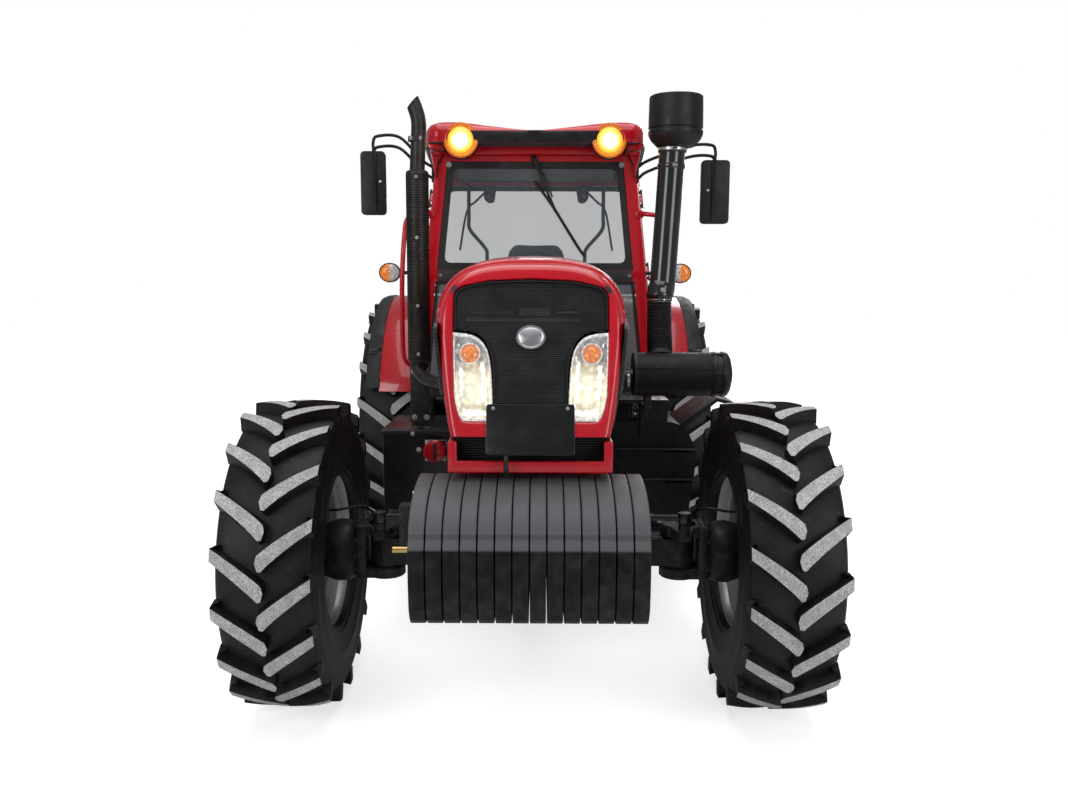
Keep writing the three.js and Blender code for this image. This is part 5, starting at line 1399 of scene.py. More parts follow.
# %% Roof shell and lamps
ROOF_HALF = [(0, 1292), (500, 1292), (560, 1300), (598, 1345), (640, 1560), (676, 2000), (700, 2400), (690, 2700),
             (672, 2880), (640, 2970), (585, 3008), (0, 3010)]
roof_outline = rounded(ROOF_HALF + [(-x, y) for x, y in ROOF_HALF[-2:0:-1]], 45, 4)
roof_bm = bmesh.new()
levels = [(2586, 20), (2592, 6), (2604, 0), (2652, 0), (2672, 5), (2690, 18), (2702, 42), (2709, 90), (2712, 200),
          (2713, 380)]
roof_rings = []
for z, inset in levels:
    ring = []
    for x, y in roof_outline:
        share = max(0.0, 1 - inset / 640)
        px, py = x * share, 2150 + (y - 2150) * max(0.0, 1 - inset / 860)
        width = max(0.0, min(1.0, (352 - abs(px)) / 42))
        front = max(0.0, min(1.0, (1900 - py) / 500))
        dip = (width * width * (3 - 2 * width)) * (front * front * (3 - 2 * front))
        pz = z - max(0.0, z - 2652) * 0.85 * dip
        ring.append(roof_bm.verts.new(spot(px, py, pz)))
    roof_rings.append(ring)
bridge(roof_bm, roof_rings)
roof_bm.faces.new(roof_rings[-1])
roof_bm.faces.new(roof_rings[0][::-1])
roof_bm.normal_update()
for face in roof_bm.faces:
    x, y, z = (abs(face.calc_center_median().x) / MM, (face.calc_center_median().y - FRONT_AXLE_Y) / MM,
               face.calc_center_median().z / MM)
    in_lamp_bay = x < 345 and y < 1310 and z < 2655
    face.material_index = (1 if face.normal.z < -0.6 else 2 if in_lamp_bay else 3 if face.normal.z > 0.8 else 0)
roof_meshes = [as_mesh(roof_bm, RED, CAB_GREY, BLACK, ROOF_RED)]
ROOF_LAMP_X, ROOF_LAMP_Z = 410, 2602
# The work light glows bright at its lens and, fading to orange, on the ring and the pod's bezel round it: painted
# glare on parts that are no lamp.
GLOW, glow_tree, glow_shader = shader_of("work_light_and_painted_glare")
glow_axes = axes_of(glow_tree, object_place(glow_tree))
glow_x = maths(glow_tree, "SUBTRACT", maths(glow_tree, "ABSOLUTE", glow_axes[0]), ROOF_LAMP_X * MM)
glow_z = maths(glow_tree, "SUBTRACT", glow_axes[2], 2.596)
glow_far = oval(glow_tree, glow_x, glow_z)
facets = ramp(glow_tree, noise(glow_tree, 160.0, 3.0), 0.3, 0.7, -0.006, 0.006)
glow_far = maths(glow_tree, "ADD", glow_far, facets)
warm = blend_colour(glow_tree, ramp(glow_tree, glow_far, 0.026, 0.052), (1.0, 0.93, 0.72, 1), (1.0, 0.5, 0.06, 1))
hot = blend_colour(glow_tree, ramp(glow_tree, glow_far, 0.052, 0.098), warm, (0.55, 0.09, 0.0, 1))
wire(glow_tree, hot, glow_shader.inputs["Emission Color"])
wire(glow_tree, ramp(glow_tree, glow_far, 0.03, 0.1, 1.7, 0.12), glow_shader.inputs["Emission Strength"])
wire(glow_tree, hot, glow_shader.inputs["Base Color"])
glow_shader.inputs["Roughness"].default_value = 0.25
pods = bmesh.new()
slab(pods, "z", [(-575, 1492), (575, 1492), (575, 1450), (-575, 1450)], 2546, 2588, 6)
for side in (-1, 1):
    lathe(pods, "y", (side * ROOF_LAMP_X, 0, ROOF_LAMP_Z),
          [(92, 1299), (96, 1306), (94, 1400), (80, 1450), (0, 1452)], 40, index=1)
    # The bezel in front of each pod, lit by the painted glare.
    lathe(pods, "y", (side * ROOF_LAMP_X, 0, ROOF_LAMP_Z),
          [(96, 1304), (94, 1297), (84, 1292), (76, 1293), (74, 1300), (73, 1318),
            (0, 1319)], 40, index=2)
    slab(pods, "y", [(side * 500, 2588), (side * 604, 2588), (side * 606, 2572), (side * 574, 2420),
                     (side * 566, 2420), (side * 556, 2500)], 1478, 1499, 5, index=1)
    slab(pods, "y", [(side * 500, 2590), (side * 602, 2590), (side * 596, 2560), (side * 500, 2540)], 1340, 1480, 6,
         index=1)
roof_meshes.append(as_mesh(pods, RED, BLACK, GLOW))
joined("roof_shell", roof_meshes, "root", 38, ("cab_roof",))


def work_lamp(word, side):
    bm = bmesh.new()
    at = (side * ROOF_LAMP_X, 0, ROOF_LAMP_Z)
    lathe(bm, "y", at, [(0, 1264), (30, 1265), (50, 1269), (60, 1276)], 40)
    # The ring round the lens, in the painted glare.
    lathe(bm, "y", at, [(60, 1276), (66, 1279), (71, 1286), (72, 1296)], 40, index=1)
    lathe(bm, "y", at, [(72, 1296), (73, 1304), (70, 1316), (0, 1318)], 40, index=2)
    bmesh.ops.remove_doubles(bm, verts=bm.verts, dist=1e-5)
    return piece(f"roof_lamp_{word}", bm, [GLOW, GLOW, BLACK], "root", 40, (f"work_lamp_{word}",))


mirrored_pair(work_lamp)
print("roof done")

# %% [markdown]
# ## Doors, rails, mirrors and indicators
# Doors keep their CAD frame and gain a seal, a handle and a lock. Rails and mirror arms are bent
# tube, so they are swept again along the same points with more sides. Mirror heads are moulded
# shells with a glass on the rear side. The indicators are half amber and half clear.

# %% Doors and rails
DOOR = [(1606, 1262), (1722, 1262), (1724, 1504), (2354, 1828), (2360, 1850), (2360, 2464), (1606, 2464)]


def door(word, side):
    softened(f"door_{word}", RED, 4)
    bm = bmesh.new()
    onto = lambda x, y, z: (side * (cab_side_x(y, z) + x), y, z)
    inner = [(1618, 1274), (1710, 1274), (1712, 1512), (2342, 1836), (2348, 1856), (2348, 2452), (1618, 2452)]
    for start, end in ((-17, -9), (-30, -23)):
        ring_frame(bm, "x", rounded(DOOR, 14), rounded(inner, 30), start, end, onto)
    path = [onto(x, y, z) for x, y, z in ((2, 1590, 1702), (22, 1590, 1706), (33, 1589, 1690), (34, 1589, 1620),
                                          (33, 1589, 1566), (22, 1590, 1552))]
    sweep(bm, path, 8, 10, 5, index=1)
    lathe(bm, "x", (side * cab_side_x(1589, 1530), 1589, 1530),
          [(0, side * 6), (9, side * 5), (11, side * 1), (11, -side * 6), (0, -side * 6)], 20, index=2)
    return piece(f"door_trim_{word}", bm, [RUBBER_TRIM, BLACK, STEEL], f"door_{word}")


def door_seal(word, side):
    """The rubber stop that the door closes on, fixed in the door way."""
    bm = bmesh.new()
    onto = lambda x, y, z: (side * (cab_side_x(y, z) + x), y, z)
    outer = [(1588, 1244), (1740, 1244), (1742, 1493), (2368, 1815), (2378, 1848), (2378, 2482), (1588, 2482)]
    inner = [(1616, 1272), (1712, 1272), (1714, 1511), (2344, 1835), (2350, 1856), (2350, 2454), (1616, 2454)]
    ring_frame(bm, "x", rounded(outer, 14), rounded(inner, 14), -58, -42, onto)
    return piece(f"door_seal_{word}", bm, RUBBER_TRIM, "root")


def handrail(word, side):
    bm = bmesh.new()
    sweep(bm, [(side * x, y, z) for x, y, z in (
        (600, 1498, 2215), (640, 1462, 2215), (722, 1440, 2190), (748, 1440, 2080), (765, 1440, 1800),
        (765, 1440, 1450),
        (752, 1446, 1368), (715, 1462, 1350), (676, 1498, 1350))], 14, 16, 8)
    for x, z in ((602, 2215), (676, 1350)):
        lathe(bm, "y", (side * x, 0, z), [(0, 1488), (22, 1488), (26, 1491), (26, 1499.5), (0, 1499.5)], 24)
    return piece(f"rail_{word}", bm, RED, "root", 40, (f"handrail_{word}",))


def mirror(word, side):
    x, z, half = (1013, 2333, 80) if side > 0 else (912, 2378, 70)
    bm = bmesh.new()
    shape = rounded([(side * (x + u * half), z + v * 176) for u, v in ((-1, -1), (1, -1), (1, 1), (-1, 1))], 26, 6)
    slab(bm, "y", shape, 1388, 1426, 7, segments=3)
    slab(bm, "y", rounded(shrunk(shape, 9), 4, 1), 1426, 1430, 1, index=2, segments=1)
    slab(bm, "y", [(side * (x - 22), z - 158), (side * (x - 9), z - 158), (side * (x - 9), z + 168),
                   (side * (x - 22), z + 168)], 1380, 1390, 3)
    for drop in (0, 60):
        y0 = 2480 - drop
        top = z + 205
        sweep(bm, [(side * p, q, r) for p, q, r in (
            (cab_side_x(1530, y0) + 8, 1530, y0), (650, 1500, y0 + 40), (x - 150, 1425, top + 50 - drop),
            (x - 30, 1402, top + 54 - drop), (x - 4, 1396, top + 20 - drop), (x - 8, 1386, z + 150),
            (x - 14, 1382, z - 120 + drop))], 9, 10, 6)
    lathe(bm, "y", (side * (x - 44), 0, z + 8), [(0, 1380), (7, 1381), (9, 1384), (9, 1392)], 16, index=1)
    block(bm, *sorted((side * (cab_side_x(1530, 2450) + 1), side * (cab_side_x(1530, 2450) + 14))), 1508, 1552,
          2396,
          2504, 3)
    return piece(f"mirror_set_{word}", bm, [PLASTIC, STEEL, MIRROR_GLASS], "root", 35, (f"mirror_{word}",))


MIRROR_GLASS = finish_of("mirror_glass", (0.8, 0.82, 0.83), 0.04, metal=1.0, drift=0.03, grain=300.0, bump=0.00001)
CLEAR = lit_finish("clear_lens", (0.75, 0.76, 0.76), (1, 1, 1), 0.05, 0.12, scale=120.0)


def indicator(word, side):
    bm = bmesh.new()
    lathe(bm, "y", (side * 845, 0, 1880), [(0, 1537), (44, 1536), (55, 1530), (57, 1518), (57, 1506), (52, 1502),
                                           (52, 1508)], 36)
    lens = lathe(bm, "y", (side * 845, 0, 1880), [(51, 1506), (50, 1498), (42, 1491), (24, 1487), (0, 1486)], 36,
                 index=1)
    for face in lens:
        if side * face.calc_center_median().x / MM < 843:
            face.material_index = 2
    lathe(bm, "y", (side * 838, 0, 1884), [(0, 1484), (6, 1485), (7, 1489)], 12, index=3)
    for vert in bm.verts:
        vert.co.x = side * 0.845 + (vert.co.x - side * 0.845) * 1.12
    sweep(bm, [(side * (cab_side_x(1514, 1880)), 1514, 1880), (side * 800, 1514, 1880)], 11, 12, 1)
    return piece(f"indicator_lamp_{word}", bm, [PLASTIC, AMBER, CLEAR, STEEL], "root", 40, (f"indicator_{word}",))


for maker in (door, door_seal, handrail, mirror, indicator):
    print([made.name for made in mirrored_pair(maker)])

# %% [markdown]
# ## Exhaust and air intake
# The exhaust is a pipe inside a perforated heat shield, cut on the slant where it bends outwards
# at the top. The holes are one small near-black disc, painted shade in place of a cut hole, ringed
# round the pipe and stepped up it. The intake is a steel pipe on a corrugated hose held by band
# clamps, under a moulded precleaner drum.

# %% Exhaust with its perforated shield
# Near black: painted shade on the shield's holes, and soot with painted shade inside the mouth.
SOOT_AND_HOLE_SHADE = finish_of("soot_and_painted_hole_shade", (0.0015, 0.0015, 0.0015), 0.8, grain=900.0, bump=0.00001, specular=0.1)
PIPE = finish_of("exhaust_black", (0.014, 0.011, 0.0095), 0.42, drift=0.4, patch=14.0, grain=600.0,
                 bump=0.0002, dust=0.15, dust_top=3.2, specular=0.35)
AT_ORIGIN = (0, -FRONT_AXLE_Y / MM, 0)


def again(mesh):
    bm = bmesh.new()
    bm.from_mesh(mesh)
    return bm


stack_x, stack_y = -626, 1100
pipe = bmesh.new()
tip = sweep(pipe, [(stack_x, stack_y, 2400), (-618, stack_y, 2560), (-614, stack_y, 2640), (-618, stack_y, 2690),
                   (-634, stack_y, 2742)], 40, 28, 6)[1]
tip_heading = Vector((-0.38, 0, 0.92))
mouth, facing = Vector(spot(-642, stack_y, 2769)), Vector((-0.68, -0.36, 0.64))
for vert in tip.verts:
    vert.co += tip_heading * ((mouth - vert.co).dot(facing) / tip_heading.dot(facing))
print("exhaust tip height", round(max(v.co.z for v in tip.verts), 4))
bmesh.ops.inset_region(pipe, faces=[tip], thickness=3 * MM)
deep = bmesh.ops.extrude_face_region(pipe, geom=[tip])
bmesh.ops.delete(pipe, geom=[tip], context="FACES")
# The mouth's sunken inner faces take the near-black finish: soot and painted shade.
for item in deep["geom"]:
    if isinstance(item, bmesh.types.BMVert):
        item.co -= tip_heading * 0.05
    elif isinstance(item, bmesh.types.BMFace):
        item.material_index = 1
lathe(pipe, "z", (stack_x, stack_y, 0), [(38, 2562), (45, 2563), (46, 2568), (46, 2584), (45, 2589), (38, 2590)],
      32)
lathe(pipe, "z", (stack_x, stack_y, 0), [(36, 1386), (50, 1388), (59, 1394), (60.5, 1402), (60.5, 2396), (58, 2408),
                                         (46, 2415), (38, 2417)], 48)
sweep(pipe, [(stack_x, stack_y, 1420), (stack_x, stack_y - 10, 1340), (stack_x + 90, stack_y - 90, 1290),
             (-296, 806, 1280)], 36, 20, 8)
lathe(pipe, "x", (0, 800, 1280), [(30, -305), (44, -302), (52, -296), (52, -286), (44, -282), (44, -242)], 24)
slab(pipe, "y", rounded([(-682, 1048), (-582, 1048), (-582, 1450), (-682, 1450)], 16), 1120, 1134, 3)
# One hole: a thin near-black disc lying on the shield, painted shade where no hole is cut.
disc = bmesh.new()
slab(disc, "x", [(AT_ORIGIN[1] + 4.7 * math.cos(a), 4.7 * math.sin(a))
                 for a in [math.pi * i / 3 for i in range(6)]],
     59.5, 61.0)
other = disc.copy()
rows = [ring_of(disc, SOOT_AND_HOLE_SHADE, 26, AT_ORIGIN, (0, 0, 1), 0.0),
        ring_of(other, SOOT_AND_HOLE_SHADE, 26, AT_ORIGIN, (0, 0, 1), math.pi / 26)]
shield = [grid_of(again(row), SOOT_AND_HOLE_SHADE, 38, (stack_x, stack_y, 1412 + 13 * n), (0, 0, 26))
          for n, row in enumerate(rows)]
shield += bolts(STEEL, [(stack_x + 2, stack_y - 61, z) for z in (1440, 1700, 2060, 2376)], 6, 5)
shield += bolts(STEEL, [(stack_x + dx, stack_y - 40, 2576) for dx in (-24, 24)], 7, 10)
shield += bolts(STEEL, [(stack_x + dx, stack_y + 20, z) for dx in (-34, 34) for z in (1085, 1340)], 11, 8)
joined("exhaust_stack", [as_mesh(pipe, PIPE, SOOT_AND_HOLE_SHADE)] + shield, "root", 38, ("exhaust",))
print("shield holes", 26 * 76)

# %% Intake pipe, hose and precleaner
GLOSS_BLACK = finish_of("gloss_black", (0.006, 0.006, 0.0065), 0.2, drift=0.2, patch=5.0, grain=700.0, bump=0.00008,
                        coat=0.5, specular=0.45)
intake = bmesh.new()
sweep(intake, [(646, 790, 1452), (646, 826, 1520), (646, 852, 1600), (646, 866, 1680), (646, 872, 1756)], 62, 28,
      26,
      index=1,
      ridge=lambda n: 1 + 0.05 * math.cos(n * math.pi * 0.5) if 6 < n < 98 else 1)
sweep(intake, [(646, 872, 1742), (654, 888, 1800), (666, 905, 1850), (708, 950, 2520)], 66, 36, 10)
for z, x, y, r in ((1764, 648, 876, 69), (2420, 702, 944, 69)):
    lathe(intake, "z", (x, y, 0), [(r - 8, z - 14), (r, z - 13), (r + 2, z - 8), (r + 2, z + 8), (r, z + 13),
                                   (r - 8, z + 14)], 40, index=0)
lathe(intake, "z", (708, 950, 0), [(60, 2486), (70, 2487), (73, 2492), (73, 2520), (70, 2526), (66, 2530)], 40)
for z, x, y, r in ((2504, 708, 950, 74.5), (1738, 646, 872, 62.5)):
    lathe(intake, "z", (x, y, 0), [(r - 3, z - 8), (r, z - 7), (r + 1, z), (r, z + 7), (r - 3, z + 8)], 40, index=2)
    block(intake, x - 14, x + 16, y - r - 10, y - r + 3, z - 6, z + 6, 2, index=2)
lathe(intake, "z", (722, 950, 0), [(66, 2514), (95, 2518), (126, 2550), (137, 2570), (140, 2580), (140, 2594),
                                   (137, 2597), (134, 2600),
                                   (134, 2606), (139, 2610), (139, 2616), (138, 2700), (136.5, 2758), (135, 2766),
                                   (130, 2770), (90, 2775.5), (0, 2778)], 64, index=3)
intake_parts = [as_mesh(intake, GLOSS_BLACK, RUBBER_TRIM, STEEL, PLASTIC)]
rib = bmesh.new()
block(rib, -2, 2, AT_ORIGIN[1] + 131, AT_ORIGIN[1] + 137.6, 2622, 2750, 1)
intake_parts.append(ring_of(rib, PLASTIC, 4, (722, 950, 0), (0, 0, 1), 0.5))
intake_parts += bolts(STEEL, [(706, 876, 2420), (654, 812, 1790)], 8, 8)
joined("intake_column", intake_parts, "root", 38, ("intake_stack",))

# %% [markdown]
# ## Air cleaner
# The canister lies across the tractor. Its drum carries stiffening ribs and an end cap held by
# wire clips, so one rib profile is lathed and the clips are ringed round the cap.

# %% Ribbed canister
canister = bmesh.new()
AIR_AXIS = (0, 750, 1366)
drum = [(0, 500), (104, 500.5), (109, 504), (110, 514)]
for k in range(46):
    start = 522 + 8.1 * k
    drum += [(109, start), (111, start + 1.6), (111, start + 4.6), (109, start + 6.2)]
drum += [(111, 896), (113, 900), (116, 908), (116, 916), (112, 920), (112, 944), (116, 948), (116, 962), (108, 978),
         (92, 988), (88, 982),
         (60, 984), (56, 998), (40, 1000), (0, 1000)]
lathe(canister, "x", AIR_AXIS, drum, 72)
for angle in (0.35, 2.6):
    y, z = 750 - 112 * math.cos(angle), 1366 + 112 * math.sin(angle)
    block(canister, 514, 900, y - 3, y + 3, z - 3, z + 3, 1.5)
sweep(canister, [(242, 750, 1340), (380, 750, 1340), (440, 750, 1346), (512, 750, 1352)], 44, 24, 6, index=1)
for x in (300, 480):
    lathe(canister, "x", (0, 750, 1342), [(42, x - 8), (47, x - 7), (48, x), (47, x + 7), (42, x + 8)], 28, index=2)
block(canister, 560, 600, 730, 770, 1200, 1264, 4, index=1)
block(canister, 560, 600, 730, 920, 1180, 1204, 4, index=1)
block(canister, 560, 600, 886, 899, 1020, 1204, 3, index=1)
clip = bmesh.new()
block(clip, 896, 958, AT_ORIGIN[1] - 9, AT_ORIGIN[1] + 9, 114, 119, 2)
block(clip, 938, 950, AT_ORIGIN[1] - 14, AT_ORIGIN[1] + 14, 117, 122, 2)
end_rib = bmesh.new()
block(end_rib, 962, 984, AT_ORIGIN[1] - 3, AT_ORIGIN[1] + 3, 60, 100, 1.5)
joined("air_canister", [as_mesh(canister, PLASTIC, BLACK, STEEL),
                        ring_of(clip, PLASTIC, 6, AIR_AXIS, start=0.4),
                        ring_of(end_rib, PLASTIC, 16, AIR_AXIS)], "root", 38, ("air_cleaner",))
print("air cleaner done")

# %% [markdown]
# ## Tank, toolbox, battery box and isolator
# These boxes keep their CAD shape with moulded radii. What makes them read as real are the small
# fittings: filler cap, straps, lid bolts, the toolbox latch and the red battery isolator knob.

# %% Side boxes
TAIL_RED = lit_finish("tail_red", (0.35, 0.004, 0.006), (1.0, 0.02, 0.01), 0.06, 0.16, scale=140.0)
# Pale grey with a faint glow, though these parts are no lamps: painted glow on the fender reflector, the battery
# box plate and its bolts.
PALE_GLOW_GREY = lit_finish("pale_grey_with_painted_glow", (0.5, 0.51, 0.52), (1, 1, 1), 0.04, 0.2, scale=180.0)
# A grey-blue far paler than the black it sits on: a painted highlight along the tank's ledges and the battery lid's
# edge.
EDGE_HIGHLIGHT = finish_of("painted_edge_highlight", (0.05, 0.052, 0.06), 0.4, drift=0.3, patch=9.0, grain=400.0, bump=0.0002,
                  specular=0.4)
LATCH = finish_of("plated_latch", (0.72, 0.66, 0.4), 0.3, metal=0.25, drift=0.25, patch=30.0, grain=600.0)
TANK = finish_of("tank_plastic", (0.0055, 0.006, 0.0075), 0.5, drift=0.2, patch=3.0, grain=600.0, bump=0.0003,
                 dust=0.1, dust_top=1.4, specular=0.28)
softened("fuel_tank", TANK, 14, 4)
softened("toolbox_lid", BLACK, 4, 2)
softened("battery_box", BLACK, 6, 3)
boxes = bmesh.new()
lathe(boxes, "z", (640, 1392, 0), [(38, 1096), (48, 1100), (52, 1106), (52, 1112), (46, 1114), (46, 1136),
                                   (42, 1142),
                                   (0, 1143)], 40)
# Two ledges across the tank, in the painted edge highlight.
for z, wide in ((952, 855), (790, 838)):
    slab(boxes, "x", [(892, z - 6), (884, z + 1), (886, z + 5), (904, z + 12), (904, z - 6)], 424, wide, 1.5,
         index=5)
slab(boxes, "y", rounded([(500, 1060), (520, 1060), (520, 1180), (500, 1180)], 4), 946, 950, 1)
block(boxes, 522, 554, 938, 949, 1116, 1172, 2, index=1)
block(boxes, 528, 548, 934, 948, 1162, 1187, 2, index=1)
lathe(boxes, "y", (538, 0, 1136), [(0, 934), (7, 934.5), (8, 938)], 16, index=2)
# The battery box plate, pale grey with a painted glow.
block(boxes, -576, -464, 890, 899.5, 884, 998, 2, index=4)
lathe(boxes, "y", (-520, 0, 942), [(0, 840), (40, 841), (56, 846), (62, 854), (62, 868), (50, 878), (44, 890),
                                   (52, 891)], 10, index=3)
block(boxes, -530, -510, 830, 846, 894, 990, 3, index=3)
slab(boxes, "y", rounded([(-796, 1022), (-430, 1022), (-430, 1040), (-796, 1040)], 5), 884, 889, 1)
fittings = [as_mesh(boxes, BLACK, LATCH, STEEL, RED, PALE_GLOW_GREY, EDGE_HIGHLIGHT)]
# Pale bolts on the battery box with a painted glow.
fittings += bolts(PALE_GLOW_GREY, [(-563, 890, 985), (-477, 890, 897), (-563, 890, 897), (-610, 899, 944)], 9, 8)
fittings += bolts(STEEL, [(-640, 884, 1031)], 8, 6)
# A thin strip along the battery lid's edge, painted as a highlight.
ledge = bmesh.new()
block(ledge, -808, -428, 886, 896, 1043, 1048.5, 1.5)
fittings.append(as_mesh(ledge, EDGE_HIGHLIGHT))
fittings += [grid_of(bolt_shape(8, 6, "x"), STEEL, 2, (713, 1000, 1150), (0, 240, 0))]
joined("box_fittings", fittings, "root")

# %% [markdown]
# ## Fenders, steps and vents
# Rear fenders are pressed steel with a rubber lip along the outer edge, made here by carrying one
# section round the wheel arch. Step treads get punched anti-slip rings, and the hood sides get
# louvred vents that follow the hood's own surface.

# %% Fenders and steps
LIP = [(980, 887), (992, 890), (1034, 886), (1068, 872), (1071, 866), (1062, 864), (1030, 876), (988, 880),
       (980, 878)]


def fender(word, side):
    softened(f"fender_{word}", RED, 4, 2)
    bm = bmesh.new()
    rings = []
    for k in range(49):
        angle = math.radians(21 + 138 * k / 48)
        rings.append([bm.verts.new(spot(side * x, WHEELBASE - r * math.cos(angle),
                                        REAR_AXLE_Z + r * math.sin(angle)))
                      for x, r in LIP])
    bm.faces.new(rings[0])
    bm.faces.new(rings[-1][::-1])
    for a, b in zip(rings, rings[1:]):
        for i in range(len(LIP)):
            bm.faces.new([a[i], a[(i + 1) % len(LIP)], b[(i + 1) % len(LIP)], b[i]])
    bmesh.ops.recalc_face_normals(bm, faces=bm.faces)
    lamp = [(760, 1316), (940, 1316), (940, 1386), (760, 1386)]
    lamp = rounded([(side * x, z) for x, z in lamp], 16)
    slab(bm, "y", lamp, 3396, 3452, 5, index=1)
    slab(bm, "y", rounded([(side * x, z) for x, z in ((766, 1322), (868, 1322), (868, 1380), (766, 1380))], 12),
         3450,
         3464, 4, index=2)
    slab(bm, "y", rounded([(side * x, z) for x, z in ((872, 1322), (934, 1322), (934, 1380), (872, 1380))], 12),
         3450,
         3464, 4, index=3)
    # A small reflector on the fender, pale grey with a painted glow.
    slab(bm, "y", rounded([(side * x, z) for x, z in ((1004, 1376), (1050, 1376), (1050, 1400), (1004, 1400))], 6),
         1966, 1984, 3, index=4)
    slab(bm, "y", [(side * x, z) for x, z in ((985, 1366), (1056, 1372), (1056, 1404), (985, 1410))], 1982, 1998, 3,
         index=1)
    return piece(f"fender_lip_{word}", bm, [RUBBER_TRIM, PLASTIC, TAIL_RED, AMBER, PALE_GLOW_GREY], "root", 40)


def steps(word, side):
    softened(f"step_{word}", BLACK, 4, 2)
    made = []
    for z, x in ((450, 832), (680, 770), (910, 702)):
        stud = bmesh.new()
        profile = [(13, 0), (12, 2.4), (9.5, 3), (8, 0.2)]
        levels = [[stud.verts.new(Vector((r * math.cos(a), r * math.sin(a), h)) * MM)
                   for a in [math.pi * i / 6 for i in range(12)]] for r, h in profile]
        for a, b in zip(levels, levels[1:]):
            for i in range(12):
                stud.faces.new([a[i], a[(i + 1) % 12], b[(i + 1) % 12], b[i]])
        stud.faces.new(levels[-1]).material_index = 0
        made.append(grid_of(stud, BLACK, 32, (side * (x - 92), 1500, z + 23.6), (0, 36.5, 0), 8, (side * 38, 0, 0)))
    return joined(f"step_grip_{word}", made, "root")


def vent(word, side):
    bm = bmesh.new()
    for front, back, low, high, lines in ((-850, -400, 1430, 1690, 17), (430, 1150, 1450, 1640, 13)):
        corners = [(front, low), (back, low), (back, high), (front, high)]
        rim, inner = rounded(corners, 40, 4), rounded(shrunk(corners, 12), 30, 4)
        loops = [[bm.verts.new(spot(side * (hood_side_x(y, z) + out), y, z)) for y, z in line]
                 for line, out in ((rim, -2), (rim, 9), (inner, 10), (inner, 7))]
        bridge(bm, loops)
        bm.faces.new(loops[-1])
        for k in range(lines):
            z = low + 22 + (high - low - 44) * k / (lines - 1)
            cut = 14 if 0 < k < lines - 1 else 30
            path = [(side * (hood_side_x(y, z) + 9), y, z) for y in [front + cut + (back - front - 2 * cut) * t / 8
                    for t in range(9)]]
            sweep(bm, path, 3.6, 6, 1)
    bmesh.ops.recalc_face_normals(bm, faces=bm.faces)
    return piece(f"hood_vent_{word}", bm, BLACK, node_body["hood"])


for maker in (fender, steps, vent):
    print([made.name for made in mirrored_pair(maker)])

# %% [markdown]
# ## Transmission, hitch and lift
# The gearbox, trumpets and hitch are castings and forgings, so the CAD solids get cast radii and
# a rough black paint. Flange bolts are ringed round each trumpet. The lift rods are turnbuckles,
# which are a thin bar with a thicker sleeve, and the lower links end in bright balls.

# %% Castings and hitch
softened("transmission", CHASSIS, 7, 3)
softened("lift_arms", CHASSIS, 5, 2)
driveline = bmesh.new()
lathe(driveline, "y", (0, 0, 700), [(0, 3064), (15, 3064), (18.5, 3061), (18.5, 2984), (24, 2982), (60, 2981),
                                    (62, 2972)], 32, index=1)
slab(driveline, "y", [(-132, 690), (-132, 802), (-122, 812), (122, 812), (132, 802), (132, 690), (126, 690),
                      (126, 800), (118, 806),
                      (-118, 806), (-126, 800), (-126, 690)], 2952, 3092, 1)
lathe(driveline, "z", (0, 3352, 0), [(0, 514), (14, 512), (16, 508), (16, 470), (26, 468), (26, 465), (15, 464),
                                     (15, 416), (0, 414)], 24, index=1)
lathe(driveline, "x", (0, 2975, 1000), [(0, -92), (13, -90), (14, -86), (14, 86), (13, 90), (0, 92)], 20, index=1)
slab(driveline, "y", rounded([(-190, 560), (190, 560), (190, 1040), (-190, 1040)], 40), 2948, 2962, 4)
for side in (-1, 1):
    sweep(driveline, [(side * 150, 1700, 1012), (side * 230, 1900, 1030), (side * 235, 2300, 1060),
                      (side * 330, 2560, 1040)], 6, 8, 8)
    sweep(driveline, [(side * 90, 2962, 880), (side * 96, 3010, 884), (side * 98, 3050, 900)], 15, 12, 4, index=1)
    lathe(driveline, "x", (0, WHEELBASE, REAR_AXLE_Z), [(150, side * 556), (160, side * 560), (160, side * 578),
            (150, side * 582)], 48)
    lathe(driveline, "x", (0, WHEELBASE, REAR_AXLE_Z), [(184, side * 200), (206, side * 206), (206, side * 226),
            (184, side * 232)], 48)
driveline_parts = [as_mesh(driveline, CHASSIS, STEEL)]
tooth = bmesh.new()
block(tooth, -2, 2, AT_ORIGIN[1] + 2990, AT_ORIGIN[1] + 3060, 17.5, 20.5, 0.6)
driveline_parts.append(ring_of(tooth, STEEL, 12, (0, 0, 700), (0, 1, 0)))
for side in (-1, 1):
    for radius, x, count in ((150, 578, 10), (195, 226, 12)):
        head = bolt_shape(9, 9, "x" if side > 0 else "-x")
        bmesh.ops.translate(head, verts=head.verts,
                            vec=Vector((side * x, 0, radius * (1 if count == 12 else 0.97))) * MM)
        driveline_parts.append(ring_of(head, CHASSIS, count, (0, WHEELBASE, REAR_AXLE_Z)))
    driveline_parts.append(grid_of(bolt_shape(10, 9, "y"), CHASSIS, 6, (side * 168, 2962, 590), (0, 0, 84)))
joined("driveline_fittings", driveline_parts, "root", 35)


